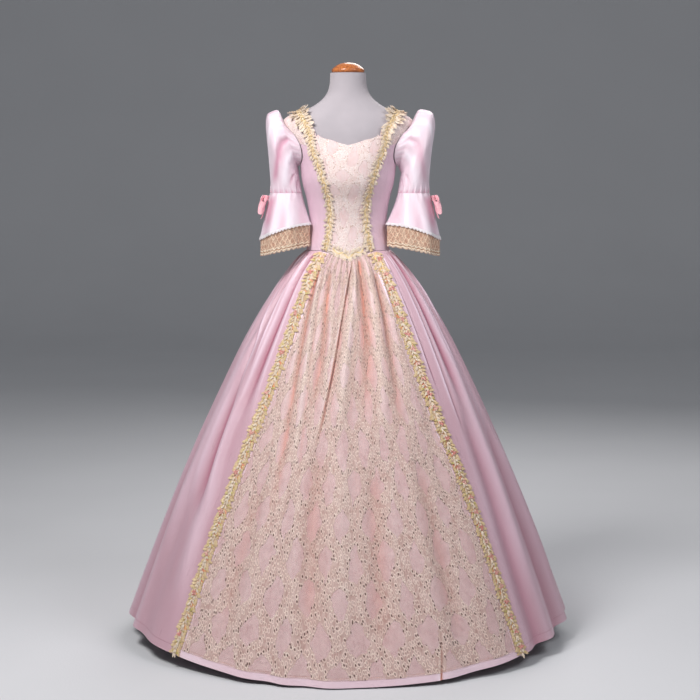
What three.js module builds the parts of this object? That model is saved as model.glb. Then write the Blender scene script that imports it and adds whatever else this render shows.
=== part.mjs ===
// A floor-length ball gown on a limbless dress form: a boned bodice with a lace front, puffed sleeves with flounces
// and lace cuffs, and a gathered satin skirt with a lace front panel and lace braid along its edges.
// Millimetres, +Z up. The gown's front faces -Y. The origin is on the floor, under the middle of the pole.
// Everything that comes in pairs is made for the +X side, the wearer's left, and mirrored.
import * as THREE from 'three';

const { degToRad, radToDeg, lerp, smoothstep, clamp } = THREE.MathUtils;

// Driving sizes
const seamGap = 0.3;
const satinThickness = 1.8;
const laceThickness = 1;
const braidThickness = 1.2;
const ribbonThickness = 1.2;
const clothEase = 2.8;
const neckBraidLift = 2.7;
const skirtBraidLift = 0.6;

const hemHeight = 4;
const hemRise = 58;
const hemHalfWidth = 625;
const hemHalfDepth = 606;
const sideWaistHeight = 1100;
const waistDip = 28;
const waistDipAngle = 40;
const waistGap = 0.8;

const formTopHeight = 1597;
const formBottomHeight = 940;
const poleRadius = 16;
const baseRadius = 200;
const baseThickness = 14;

const satinPink = new THREE.MeshStandardMaterial({ color: 0xe6c3d2, roughness: 0.35 });
const lacedSatin = new THREE.MeshStandardMaterial({ color: 0xe3b9b8, roughness: 0.45 });
const laceCream = new THREE.MeshStandardMaterial({ color: 0xe6ccb4, roughness: 0.75 });
const laceGold = new THREE.MeshStandardMaterial({ color: 0xdfc086, roughness: 0.7 });
const edgingWhite = new THREE.MeshStandardMaterial({ color: 0xf2e6ea, roughness: 0.7 });
const formCover = new THREE.MeshStandardMaterial({ color: 0xcfcacb, roughness: 0.8 });
const capWood = new THREE.MeshStandardMaterial({ color: 0x9c5a2c, roughness: 0.5 });
const standMetal = new THREE.MeshStandardMaterial({ color: 0xd8d8da, roughness: 0.3, metalness: 0.9 });

const gown = new THREE.Group();

// Counts evenly spaced values from one to another, both ends included.
const evenly = (from, to, steps) => Array.from({ length: steps + 1 }, (_, i) => lerp(from, to, i / steps));

// A smooth curve through one column of a table whose rows are in order of their key.
function between(rows, key, value, column) {
  const last = rows.length - 1;
  let i = 0;
  while (i < last - 1 && value > rows[i + 1][key]) i += 1;
  const slope = (j) => {
    const before = rows[Math.max(j - 1, 0)];
    const after = rows[Math.min(j + 1, last)];
    return (after[column] - before[column]) / (after[key] - before[key]);
  };
  const step = rows[i + 1][key] - rows[i][key];
  const t = clamp((value - rows[i][key]) / step, 0, 1);
  const rest = 1 - t;
  return rows[i][column] * (1 + 2 * t) * rest * rest + rows[i + 1][column] * t * t * (3 - 2 * t)
    + step * (slope(i) * t * rest * rest - slope(i + 1) * t * t * rest);
}

// The unit normal of a surface at (u, v).
function normalOf(surface, u, v, step) {
  const alongU = surface(u + step, v).sub(surface(u - step, v));
  const alongV = surface(u, v + step).sub(surface(u, v - step));
  return alongU.cross(alongV).normalize();
}

// A body from points and triangles, with its faces turned outwards.
function closedBody(points, faces) {
  let volume = 0;
  for (let i = 0; i < faces.length; i += 3) {
    const [a, b, c] = [points[faces[i]], points[faces[i + 1]], points[faces[i + 2]]];
    volume += a.dot(b.clone().cross(c));
  }
  if (volume < 0) faces.reverse();
  const geometry = new THREE.BufferGeometry().setFromPoints(points);
  geometry.setIndex(faces);
  geometry.computeVertexNormals();
  return geometry;
}

// A wall of cloth over the grid us by vs of a surface, between an outer and an inner distance from that surface.
// Facing is -1 where the surface's normal points into the gown. A round wall closes on itself along u.
function clothWall(place, us, vs, options = {}) {
  const { outer = 0, inner = -satinThickness, facing = 1, round = false } = options;
  const step = (us.at(-1) - us[0]) * 1e-4;
  const points = [];
  for (const distance of [outer, inner]) {
    for (const v of vs) {
      for (const u of us) {
        const inU = round ? u : clamp(u, us[0] + step, us.at(-1) - step);
        const inV = clamp(v, vs[0] + step, vs.at(-1) - step);
        points.push(place(u, v).addScaledVector(normalOf(place, inU, inV, step), facing * distance));
      }
    }
  }
  const across = us.length;
  const columns = round ? across : across - 1;
  const rows = vs.length - 1;
  const at = (i, j, layer) => (layer * (rows + 1) + j) * across + (i % across);
  const faces = [];
  const quad = (a, b, c, d) => faces.push(a, b, c, a, c, d);
  for (let i = 0; i < columns; i += 1) {
    for (let j = 0; j < rows; j += 1) {
      quad(at(i, j, 0), at(i + 1, j, 0), at(i + 1, j + 1, 0), at(i, j + 1, 0));
      quad(at(i, j, 1), at(i, j + 1, 1), at(i + 1, j + 1, 1), at(i + 1, j, 1));
    }
    quad(at(i, 0, 1), at(i + 1, 0, 1), at(i + 1, 0, 0), at(i, 0, 0));
    quad(at(i, rows, 0), at(i + 1, rows, 0), at(i + 1, rows, 1), at(i, rows, 1));
  }
  for (let j = 0; j < rows && !round; j += 1) {
    quad(at(0, j, 0), at(0, j + 1, 0), at(0, j + 1, 1), at(0, j, 1));
    quad(at(columns, j, 1), at(columns, j + 1, 1), at(columns, j + 1, 0), at(columns, j, 0));
  }
  return closedBody(points, faces);
}

// A closed body lofted through rings of equal length, with its two ends closed over their middles.
function loft(rings) {
  const around = rings[0].length;
  const points = rings.flat();
  const faces = [];
  for (let j = 0; j + 1 < rings.length; j += 1) {
    for (let i = 0; i < around; i += 1) {
      const [a, b] = [j * around + i, j * around + ((i + 1) % around)];
      faces.push(a, b, b + around, a, b + around, a + around);
    }
  }
  for (const [ring, up] of [[0, false], [rings.length - 1, true]]) {
    points.push(rings[ring].reduce((sum, p) => sum.add(p), new THREE.Vector3()).divideScalar(around));
    for (let i = 0; i < around; i += 1) {
      const [a, b] = [ring * around + i, ring * around + ((i + 1) % around)];
      faces.push(...(up ? [a, b, points.length - 1] : [b, a, points.length - 1]));
    }
  }
  return closedBody(points, faces);
}

function add(name, geometry, material) {
  const mesh = new THREE.Mesh(geometry, material);
  mesh.name = name;
  gown.add(mesh);
}

// Adds a piece of the +X side, and its mirror image.
function addPair(name, geometry, material) {
  add(`${name}_left`, geometry, material);
  const other = geometry.clone().scale(-1, 1, 1);
  other.setIndex(Array.from(geometry.index.array).reverse());
  add(`${name}_right`, other, material);
}

// Body surface

// Sections of the dress form: half its width, and its reach to the front and to the back.
const formSections = [
  { height: 940, width: 150, front: 112, back: 118 },
  { height: 1000, width: 142, front: 106, back: 112 },
  { height: 1060, width: 126, front: 96, back: 97 },
  { height: 1110, width: 112, front: 85, back: 82 },
  { height: 1180, width: 105, front: 80, back: 73 },
  { height: 1240, width: 112, front: 92, back: 80 },
  { height: 1295, width: 126, front: 114, back: 91 },
  { height: 1345, width: 133, front: 115, back: 98 },
  { height: 1385, width: 150, front: 107, back: 101 },
  { height: 1425, width: 171, front: 96, back: 96 },
  { height: 1450, width: 181, front: 86, back: 88 },
  { height: 1464, width: 176, front: 79, back: 81 },
  { height: 1476, width: 158, front: 73, back: 75 },
  { height: 1487, width: 133, front: 67, back: 69 },
  { height: 1500, width: 106, front: 62, back: 63 },
  { height: 1518, width: 79, front: 56, back: 57 },
  { height: 1540, width: 60, front: 51, back: 53 },
  { height: 1565, width: 52, front: 48, back: 51 },
  { height: 1597, width: 50, front: 46, back: 50 },
];

// A point of the form's skin. The angle is in degrees from the centre front, towards +X.
function formSkin(angle, height) {
  const turn = degToRad(angle);
  const faces = Math.cos(turn) > 0 ? 'front' : 'back';
  return new THREE.Vector3(
    between(formSections, 'height', height, 'width') * Math.sin(turn),
    -between(formSections, 'height', height, faces) * Math.cos(turn),
    height,
  );
}

// A point of the bodice's outer side.
function bodiceSkin(angle, height) {
  return formSkin(angle, height).addScaledVector(normalOf(formSkin, angle, height, 0.2), clothEase + satinThickness);
}

// A length of cloth across the body, as an angle at a height.
const asAngle = (length, height) => radToDeg(length / between(formSections, 'height', height, 'width'));

function addForm() {
  const angles = evenly(0, 360, 22).slice(1);
  const heights = [formBottomHeight, 1010, 1060, 1100, 1140, 1180, 1225, 1270, 1310, 1350, 1390,
    1424, 1447, 1463, 1477, 1492, 1512, 1540, formTopHeight];
  add('form_torso', loft(heights.map((height) => angles.map((angle) => formSkin(angle, height)))), formCover);

  const capEdge = 46;
  const capProfile = [[0, 0], [capEdge - 3, 0], [capEdge, 3], [capEdge, 9], [capEdge - 8, 17], [24, 25], [12, 28], [0, 29]];
  const cap = new THREE.LatheGeometry(capProfile.map(([x, y]) => new THREE.Vector2(x, y)), 18);
  add('form_neck_cap', cap.rotateX(Math.PI / 2).translate(0, 0, formTopHeight + seamGap), capWood);

  const poleBottom = baseThickness + seamGap;
  const poleLength = formBottomHeight - seamGap - poleBottom;
  const pole = new THREE.CylinderGeometry(poleRadius, poleRadius, poleLength, 16);
  add('form_pole', pole.rotateX(Math.PI / 2).translate(0, 0, poleBottom + poleLength / 2), standMetal);

  const bevel = 5;
  const baseProfile = [[0, 0], [baseRadius, 0], [baseRadius, baseThickness - bevel],
    [baseRadius - bevel, baseThickness], [0, baseThickness]];
  const base = new THREE.LatheGeometry(baseProfile.map(([x, y]) => new THREE.Vector2(x, y)), 28);
  add('form_base', base.rotateX(Math.PI / 2), standMetal);
}

// Edges and seams of the bodice

// The waist seam: level round the sides and back, with a point at the centre front.
function waistHeight(angle) {
  const near = Math.max(1 - Math.abs(angle) / waistDipAngle, 0);
  return sideWaistHeight - waistDip * near ** 1.5;
}

// The neckline: a shallow heart over the front, then up each side of the neck and round the back.
const necklineRows = [
  { angle: 0, height: 1393 },
  { angle: 8, height: 1399 },
  { angle: 17, height: 1408 },
  { angle: 25, height: 1414 },
  { angle: 29, height: 1423 },
  { angle: 33, height: 1446 },
  { angle: 43, height: 1471 },
  { angle: 66, height: 1486 },
  { angle: 90, height: 1490 },
  { angle: 114, height: 1486 },
  { angle: 136, height: 1473 },
  { angle: 152, height: 1452 },
  { angle: 166, height: 1441 },
  { angle: 180, height: 1437 },
];
const neckline = (angle) => between(necklineRows, 'angle', Math.abs(angle), 'height');

// The seam on each side of the bodice front, under the braid.
const frontSeamRows = [
  { height: 1070, angle: 34 },
  { height: 1110, angle: 31.5 },
  { height: 1160, angle: 28 },
  { height: 1228, angle: 26.5 },
  { height: 1295, angle: 31 },
  { height: 1360, angle: 39 },
  { height: 1390, angle: 41 },
];
const frontSeam = (height) => between(frontSeamRows, 'height', height, 'angle');
const sideSeam = 90;
const frontCorner = { angle: 29, height: 1423 };
const frontSeamTop = { angle: 41, height: 1390 };

// The armhole: an oval on the side of the body. Its points are shared by the sleeve and by the panels round it.
const armhole = { height: 1400, halfHeight: 62, halfAngle: 34, points: 20 };
const armholeFront = { angle: sideSeam - armhole.halfAngle, height: armhole.height };
const armholeBack = { angle: sideSeam + armhole.halfAngle, height: armhole.height };
function armholeEdge(angle, direction) {
  const across = clamp((angle - sideSeam) / armhole.halfAngle, -1, 1);
  return armhole.height + direction * armhole.halfHeight * Math.sqrt(1 - across * across);
}
const quarterTurns = evenly(0, 90, armhole.points / 4).map(degToRad);
const armholeFrontAngles = quarterTurns.map((turn) => sideSeam - armhole.halfAngle * Math.cos(turn));
const armholeBackAngles = quarterTurns.map((turn) => sideSeam + armhole.halfAngle * Math.sin(turn));

// The curved seam between the side back and the back, from the waist to the armhole.
const backSeamRows = [
  { height: sideWaistHeight, angle: 155 },
  { height: 1200, angle: 152 },
  { height: 1290, angle: 143 },
  { height: armhole.height, angle: armholeBack.angle },
];
const backSeam = (height) => between(backSeamRows, 'height', height, 'angle');
const backSeamHeights = evenly(armhole.height, sideWaistHeight, 6);

// The seam under the lace yoke: from the front's corner to the front seam, and on to the armhole.
function yokeSeam(angle) {
  const [start, end] = angle < frontSeamTop.angle ? [frontCorner, frontSeamTop] : [frontSeamTop, armholeFront];
  return lerp(start.height, end.height, (angle - start.angle) / (end.angle - start.angle));
}
const cornerAngles = evenly(frontCorner.angle, frontSeamTop.angle, 3);
const yokeAngles = [...cornerAngles, ...evenly(frontSeamTop.angle, armholeFront.angle, 3).slice(1)];

// A bodice panel between two seams, each an angle at a height, and two edges, each a height at an angle.
// Its columns are listed by the angles at which they meet the upper edge.
function seamedPanel({ left, right, top, topHeight, topAngles, vs }) {
  const [topLeft, topRight] = [left(topHeight), right(topHeight)];
  const [lowLeft, lowRight] = [left(sideWaistHeight), right(sideWaistHeight)];
  const place = (u, v) => {
    const low = waistHeight(lerp(lowLeft, lowRight, u)) + seamGap / 2;
    const height = lerp(low, top(lerp(topLeft, topRight, u)) - seamGap / 2, v);
    const gap = asAngle(seamGap / 2, height);
    return bodiceSkin(lerp(left(height) + gap, right(height) - gap, u), height);
  };
  return { place, us: topAngles.map((angle) => (angle - topLeft) / (topRight - topLeft)), vs };
}

// A bodice panel whose columns stand at fixed angles.
function uprightPanel({ low, high, angles, rows }) {
  const place = (angle, v) => bodiceSkin(angle, lerp(low(angle) + seamGap / 2, high(angle) - seamGap / 2, v));
  return { place, us: angles, vs: evenly(0, 1, rows) };
}

const wallOf = (panel, options) => clothWall(panel.place, panel.us, panel.vs, options);

// Lace lies on its panel and is made from the panel's own points.
const onPanel = { outer: seamGap + laceThickness, inner: seamGap };

function addBodice() {
  const frontRows = [0, 0.06, 0.17, 0.29, 0.41, 0.53, 0.65, 0.77, 0.88, 1];
  const frontTop = (angle) => (Math.abs(angle) < frontCorner.angle ? neckline(angle) : yokeSeam(Math.abs(angle)));
  const frontAngles = [...evenly(0, frontCorner.angle, 5), ...cornerAngles.slice(1)];
  const front = seamedPanel({
    left: (height) => -frontSeam(height),
    right: frontSeam,
    top: frontTop,
    topHeight: frontSeamTop.height,
    topAngles: [...frontAngles.slice(1).reverse().map((angle) => -angle), ...frontAngles],
    vs: frontRows,
  });
  add('bodice_front', wallOf(front), lacedSatin);
  add('bodice_front_lace', wallOf(front, onPanel), laceCream);
  add('waist_braid', clothWall(front.place, front.us.filter((u) => Math.abs(u - 0.5) < 0.36), [0.012, 0.06], {
    outer: onPanel.outer + seamGap + braidThickness,
    inner: onPanel.outer + seamGap,
  }), laceGold);

  addPair('bodice_side_front', wallOf(seamedPanel({
    left: frontSeam,
    right: () => sideSeam,
    top: (angle) => (angle < armholeFront.angle ? yokeSeam(angle) : armholeEdge(angle, -1)),
    topHeight: frontSeamTop.height,
    topAngles: [...yokeAngles.slice(3), ...armholeFrontAngles.slice(1)],
    vs: frontRows,
  })), satinPink);

  addPair('bodice_side_back', wallOf(seamedPanel({
    left: () => sideSeam,
    right: backSeam,
    top: (angle) => armholeEdge(angle, -1),
    topHeight: armhole.height,
    topAngles: armholeBackAngles,
    vs: evenly(0, 1, backSeamHeights.length - 1),
  })), satinPink);

  const shoulderSeamGap = asAngle(seamGap / 2, armhole.height);
  const yoke = uprightPanel({
    low: (angle) => (angle < armholeFront.angle ? yokeSeam(angle) : armholeEdge(angle, 1)),
    high: neckline,
    angles: [frontCorner.angle + 2, ...yokeAngles.slice(1), ...armholeFrontAngles.slice(1, -1), sideSeam - shoulderSeamGap],
    rows: 4,
  });
  addPair('bodice_yoke', wallOf(yoke), lacedSatin);
  addPair('bodice_yoke_lace', wallOf(yoke, onPanel), laceCream);

  const backSeamAngles = backSeamHeights.map(backSeam);
  const backLow = (angle) => {
    if (angle <= armholeBack.angle) return armholeEdge(angle, 1);
    const part = backSeamAngles.findIndex((limit) => angle <= limit);
    if (part < 1) return sideWaistHeight;
    const share = (angle - backSeamAngles[part - 1]) / (backSeamAngles[part] - backSeamAngles[part - 1]);
    return lerp(backSeamHeights[part - 1], backSeamHeights[part], share);
  };
  const placketEdge = 174.5;
  const back = uprightPanel({
    low: backLow,
    high: neckline,
    angles: [sideSeam + shoulderSeamGap, ...armholeBackAngles.slice(1), ...backSeamAngles.slice(1), 162, 169,
      placketEdge, 180 - asAngle(seamGap / 2, armhole.height)],
    rows: 6,
  });
  addPair('bodice_back', wallOf(back), satinPink);
  const placket = { ...back, us: evenly(placketEdge, 2 * 180 - placketEdge, 2) };
  add('back_placket', wallOf({
    ...placket,
    place: (angle, v) => back.place(angle > 180 ? 360 - angle : angle, v).multiply(mirrorPast(angle, 180)),
  }, { outer: seamGap + ribbonThickness, inner: seamGap }), satinPink);
}

// Reflects the x of a point whose angle lies past a limit.
const mirrorPast = (angle, limit) => new THREE.Vector3(angle > limit ? -1 : 1, 1, 1);

// Braids of the bodice

// The middle line of the braid on each side: round the back of the neck, over the shoulder and down the front seam.
const neckBraidWidth = 24;
const neckBraidRows = [
  { along: 0, angle: 179.2, height: 1425.5 },
  { along: 1, angle: 164.8, height: 1429.7 },
  { along: 2, angle: 150, height: 1442.6 },
  { along: 3, angle: 135.2, height: 1466.2 },
  { along: 4, angle: 113.6, height: 1480.5 },
  { along: 5, angle: 90, height: 1484.8 },
  { along: 6, angle: 66.8, height: 1480.7 },
  { along: 7, angle: 51.7, height: 1472.9 },
  { along: 8, angle: 43.4, height: 1461.5 },
  { along: 9, angle: 38.2, height: 1444.2 },
  { along: 10, angle: 37.4, height: 1420 },
  { along: 11, angle: 39.8, height: 1392 },
  { along: 12, angle: 38.7, height: 1358 },
  { along: 13, angle: 34.5, height: 1326 },
  { along: 14, angle: 30.6, height: 1292 },
  { along: 15, angle: 27.6, height: 1255 },
  { along: 16, angle: 26.6, height: 1215 },
  { along: 17, angle: 28, height: 1165 },
  { along: 18, angle: 30.2, height: 1128 },
  { along: 19, angle: 32, height: 1104 },
];

// A strip that follows a line over a surface, its width measured square to the line.
function stripOver(surface, line, width) {
  const probe = 0.5;
  return (across, along) => {
    const { u, v } = line(along);
    const here = surface(u, v);
    const alongU = surface(u + probe, v).sub(here).divideScalar(probe);
    const alongV = surface(u, v + probe).sub(here).divideScalar(probe);
    const next = line(along + 0.01);
    const before = line(along - 0.01);
    const heading = surface(next.u, next.v).sub(surface(before.u, before.v));
    const square = alongU.clone().cross(alongV).cross(heading).normalize().multiplyScalar(across * width);
    const [uu, uv, vv] = [alongU.dot(alongU), alongU.dot(alongV), alongV.dot(alongV)];
    const [su, sv] = [square.dot(alongU), square.dot(alongV)];
    const scale = 1 / (uu * vv - uv * uv);
    return surface(u + (su * vv - sv * uv) * scale, v + (sv * uu - su * uv) * scale);
  };
}

function addBodiceBraids() {
  const line = (along) => ({
    u: between(neckBraidRows, 'along', along, 'angle'),
    v: between(neckBraidRows, 'along', along, 'height'),
  });
  const last = neckBraidRows.length - 1;
  const neckBraid = stripOver(bodiceSkin, line, neckBraidWidth);
  addPair('neck_braid', clothWall(neckBraid, evenly(-0.5, 0.5, 2), evenly(0, last, 28), {
    outer: neckBraidLift + braidThickness,
    inner: neckBraidLift,
    facing: -1,
  }), laceGold);
}

// Skirt

const skirtHeights = [0, 0.015, 0.055, 0.13, 0.26, 0.45, 0.7, 0.974, 1];

// The middle of the front braid, as an angle round the skirt, from the waist to the hem.
const skirtSeamRows = [
  { down: 0, angle: 36.5 },
  { down: 0.13, angle: 35.6 },
  { down: 0.25, angle: 36.4 },
  { down: 0.37, angle: 38.4 },
  { down: 0.5, angle: 41.4 },
  { down: 0.67, angle: 44.6 },
  { down: 0.84, angle: 46.4 },
  { down: 1, angle: 48 },
];
const skirtSideSeam = 100;

// How far the cloth swells out between two gathers.
const swellRows = [
  { down: 0, swell: 3 },
  { down: 0.1, swell: 8 },
  { down: 0.25, swell: 12 },
  { down: 0.5, swell: 7 },
  { down: 0.8, swell: 2 },
  { down: 1, swell: 0 },
];
const spreadPower = 0.73;
const spreadLead = 0.02;
const skirtBraidWidth = { waist: 36, hem: 46 };

// How much of the way from the waist's size to the hem's the skirt has spread.
function spreadAt(down) {
  const from = spreadLead ** spreadPower;
  return ((down + spreadLead) ** spreadPower - from) / ((1 + spreadLead) ** spreadPower - from);
}

function skirtSkin(angle, down, swell = 0) {
  const turn = degToRad(angle);
  const top = bodiceSkin(angle, waistHeight(angle));
  top.z -= waistGap;
  const hemTop = hemHeight + hemRise * Math.sin(turn) ** 2;
  const hem = new THREE.Vector3(hemHalfWidth * Math.sin(turn), -hemHalfDepth * Math.cos(turn), hemTop);
  const spread = spreadAt(down);
  const out = swell * between(swellRows, 'down', down, 'swell');
  return new THREE.Vector3(
    lerp(top.x, hem.x, spread) + out * Math.sin(turn),
    lerp(top.y, hem.y, spread) - out * Math.cos(turn),
    lerp(top.z, hem.z, down),
  );
}

const skirtAngle = (length, down) => radToDeg(length / lerp(105, hemHalfWidth, spreadAt(down)));
const skirtSeam = (down) => between(skirtSeamRows, 'down', down, 'angle');
const braidHalfAngle = (down) => skirtAngle(lerp(skirtBraidWidth.waist, skirtBraidWidth.hem, down) / 2, down);

// A skirt panel as zones side by side, each between two angles, with its own columns and gathers.
function skirtPanel(zones) {
  const total = zones.reduce((sum, zone) => sum + zone.columns, 0);
  const place = (u, down) => {
    let column = u * total;
    let zone = zones[0];
    for (const candidate of zones) {
      zone = candidate;
      if (column <= candidate.columns || candidate === zones.at(-1)) break;
      column -= candidate.columns;
    }
    const share = column / zone.columns;
    const swell = (1 - Math.cos(2 * Math.PI * zone.gathers * share)) / 2;
    return skirtSkin(lerp(zone.from(down), zone.to(down), share), down, zone.gathers ? swell : 0);
  };
  return { place, us: evenly(0, 1, total), vs: skirtHeights };
}

function addSkirt() {
  const trimStart = 0.003;
  const half = (down) => skirtAngle(seamGap / 2, down);
  const innerEdge = (down) => skirtSeam(down) - braidHalfAngle(down);
  const outerEdge = (down) => skirtSeam(down) + braidHalfAngle(down);
  const gathered = { columns: 32, gathers: 8 };
  const front = skirtPanel([
    { columns: 2, gathers: 0, from: (down) => -skirtSeam(down) + half(down), to: (down) => -innerEdge(down) },
    { ...gathered, from: (down) => -innerEdge(down), to: innerEdge },
    { columns: 2, gathers: 0, from: innerEdge, to: (down) => skirtSeam(down) - half(down) },
  ]);
  add('skirt_front', wallOf(front, { facing: -1 }), lacedSatin);

  const laceEdge = (down) => innerEdge(down) - 2 * half(down);
  const lace = skirtPanel([{ ...gathered, from: (down) => -laceEdge(down), to: laceEdge }]);
  lace.vs = [trimStart, ...skirtHeights.slice(1, -1)];
  add('skirt_front_lace', wallOf(lace, { ...onPanel, facing: -1 }), laceCream);

  addPair('skirt_side', wallOf(skirtPanel([
    { columns: 2, gathers: 0, from: (down) => skirtSeam(down) + half(down), to: outerEdge },
    { columns: 20, gathers: 5, from: outerEdge, to: (down) => skirtSideSeam - half(down) },
  ]), { facing: -1 }), satinPink);

  addPair('skirt_back', wallOf(skirtPanel([
    { columns: 20, gathers: 5, from: (down) => skirtSideSeam + half(down), to: (down) => 180 - half(down) },
  ]), { facing: -1 }), satinPink);

  const braid = skirtPanel([{ columns: 4, gathers: 0, from: innerEdge, to: outerEdge }]);
  braid.vs = [trimStart, ...skirtHeights.slice(1)];
  addPair('skirt_braid', wallOf(braid, {
    outer: skirtBraidLift + braidThickness,
    inner: skirtBraidLift,
    facing: -1,
  }), laceGold);
}

// Sleeves

// Rings of the sleeve: its middle, the lean of its crown from level, and its reach to the crown, under the arm and to
// the front and back.
const sleeveRows = [
  { along: 0, x: 160, y: 0, z: 1400, lean: 71, crown: 65, under: 65, side: 58 },
  { along: 0.1, x: 178, y: -1, z: 1413, lean: 72, crown: 86, under: 78, side: 66 },
  { along: 0.24, x: 198, y: -2, z: 1409, lean: 59, crown: 74, under: 86, side: 71 },
  { along: 0.4, x: 201, y: -4, z: 1382, lean: 47, crown: 56, under: 72, side: 71 },
  { along: 0.55, x: 197, y: -6, z: 1354, lean: 33, crown: 46, under: 58, side: 67 },
  { along: 0.7, x: 192, y: -9, z: 1324, lean: 18, crown: 42, under: 49, side: 61 },
  { along: 0.86, x: 185, y: -11, z: 1291, lean: 8, crown: 47, under: 48, side: 57 },
  { along: 1, x: 180, y: -12, z: 1262, lean: 0, crown: 47, under: 47, side: 55 },
];
const elbow = sleeveRows.at(-1);
const armholeInset = 1;

// A point of the sleeve: a full turn runs from the back over the crown, and along from the armhole to the elbow.
function sleeveSkin(turns, along) {
  const turn = 2 * Math.PI * turns;
  const row = (column) => between(sleeveRows, 'along', along, column);
  const reach = Math.sin(turn) * (Math.sin(turn) > 0 ? row('crown') : row('under'));
  const lean = degToRad(row('lean'));
  const ring = new THREE.Vector3(
    row('x') + reach * Math.cos(lean),
    row('y') + row('side') * Math.cos(turn),
    row('z') + reach * Math.sin(lean),
  );
  const inset = armholeInset + seamGap;
  const seam = bodiceSkin(
    sideSeam + (armhole.halfAngle - asAngle(inset, armhole.height)) * Math.cos(turn),
    armhole.height + (armhole.halfHeight - inset) * Math.sin(turn),
  );
  return seam.lerp(ring, smoothstep(along, -0.02, 0.1));
}

// The bell under the elbow: along is 0 at the elbow and 1 at the satin flounce's edge, and the lace runs on below.
const bell = { waves: 7, waveDepth: 3, halfWidth: 63, halfDepth: 84, outerDrop: 128, innerDrop: 97, outwards: 9 };
function bellSkin(turns, along) {
  const turn = 2 * Math.PI * turns;
  const opened = Math.min(along, 1);
  const flare = opened ** 0.8;
  const wave = bell.waveDepth * along ** 1.5 * Math.cos(bell.waves * turn);
  const drop = lerp(bell.innerDrop, bell.outerDrop, (1 + Math.sin(turn)) / 2);
  return new THREE.Vector3(
    elbow.x + bell.outwards * opened + (lerp(elbow.crown, bell.halfWidth, flare) + wave) * Math.sin(turn),
    elbow.y - 3 * along + (lerp(elbow.side, bell.halfDepth, flare) + wave) * Math.cos(turn),
    elbow.z - seamGap - drop * along,
  );
}

function addSleeves() {
  const sleeveTurns = evenly(0, 1, armhole.points).slice(0, -1);
  addPair('sleeve', clothWall(sleeveSkin, sleeveTurns, sleeveRows.map((row) => row.along), { round: true }), satinPink);

  const bellTurns = evenly(0, 1, 4 * bell.waves).slice(0, -1);
  const flounceRows = [0, 0.3, 0.62, 0.9, 1];
  addPair('flounce', clothWall(bellSkin, bellTurns, flounceRows, { round: true }), satinPink);
  addPair('flounce_edging', clothWall(bellSkin, bellTurns, flounceRows.slice(-2), {
    outer: seamGap + laceThickness,
    inner: seamGap,
    round: true,
  }), edgingWhite);
  addPair('cuff_lace', clothWall(bellSkin, bellTurns, [...flounceRows.slice(1), 1.18, 1.37], {
    outer: -satinThickness - seamGap,
    inner: -satinThickness - seamGap - laceThickness,
    round: true,
  }), laceGold);
}

// Elbow bows, each in its own frame: a runs backwards along the sleeve's side, b up it, and c out of it.

function bowLoop(side) {
  const reach = 42;
  return (turns, v) => {
    const far = (1 - Math.cos(2 * Math.PI * turns)) / 2;
    const puff = 7 * Math.sin(2 * Math.PI * turns) * (0.4 + 0.6 * far);
    const halfHeight = lerp(5, 13, far ** 0.7);
    return new THREE.Vector3(side * lerp(6.8, reach, far), (2 * v - 1) * halfHeight - 4 * far, 7.6 + puff);
  };
}

function bowTail(side) {
  return (across, down) => new THREE.Vector3(
    side * (4.5 + 14 * down) + across * lerp(4, 10, down ** 0.6),
    -8.4 - 46 * down - 2 * side * across * down,
    6.5 - 1.5 * Math.sin(3 * down),
  );
}

function addBows() {
  const [outerSide, bowAlong] = [0.25, 0.14];
  const middle = bellSkin(outerSide, bowAlong);
  const up = bellSkin(outerSide, 0).sub(bellSkin(outerSide, 0.3)).normalize();
  const backward = new THREE.Vector3(0, 1, 0);
  const frame = new THREE.Matrix4().makeBasis(backward, up, backward.clone().cross(up)).setPosition(middle);
  const ribbon = { outer: 0, inner: -ribbonThickness };
  const addRibbon = (name, geometry) => addPair(name, geometry.applyMatrix4(frame), satinPink);

  const loopTurns = evenly(0, 1, 12).slice(0, -1);
  for (const [place, side] of [['front', -1], ['back', 1]]) {
    const loop = clothWall(bowLoop(side), loopTurns, [0, 0.5, 1], { ...ribbon, facing: side, round: true });
    addRibbon(`bow_loop_${place}`, loop);
    addRibbon(`bow_tail_${place}`, clothWall(bowTail(side), evenly(-1, 1, 2), evenly(0, 1, 5), ribbon));
  }
  const knotRings = [[-8, 4.5], [-6, 6.5], [0, 5.4], [6, 6.5], [8, 4.5]].map(([b, reach]) => (
    evenly(0, 2 * Math.PI, 10).slice(1).map((turn) => new THREE.Vector3(
      reach * Math.cos(turn),
      b,
      5.8 + reach * Math.sin(turn),
    ))
  ));
  addRibbon('bow_knot', loft(knotRings));
}

addForm();
addBodice();
addBodiceBraids();
addSkirt();
addSleeves();
addBows();

export default gown;
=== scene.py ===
# %% [markdown]
# # A ball gown on a dress form, dressed for its picture
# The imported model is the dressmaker's plan: every piece of cloth stands where it is worn. This lesson lays finer
# cloth over the same plan, piece by piece, and gives it satin, lace and braid. Lengths are in metres, the floor is
# z = 0, and the gown faces -Y.

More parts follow.
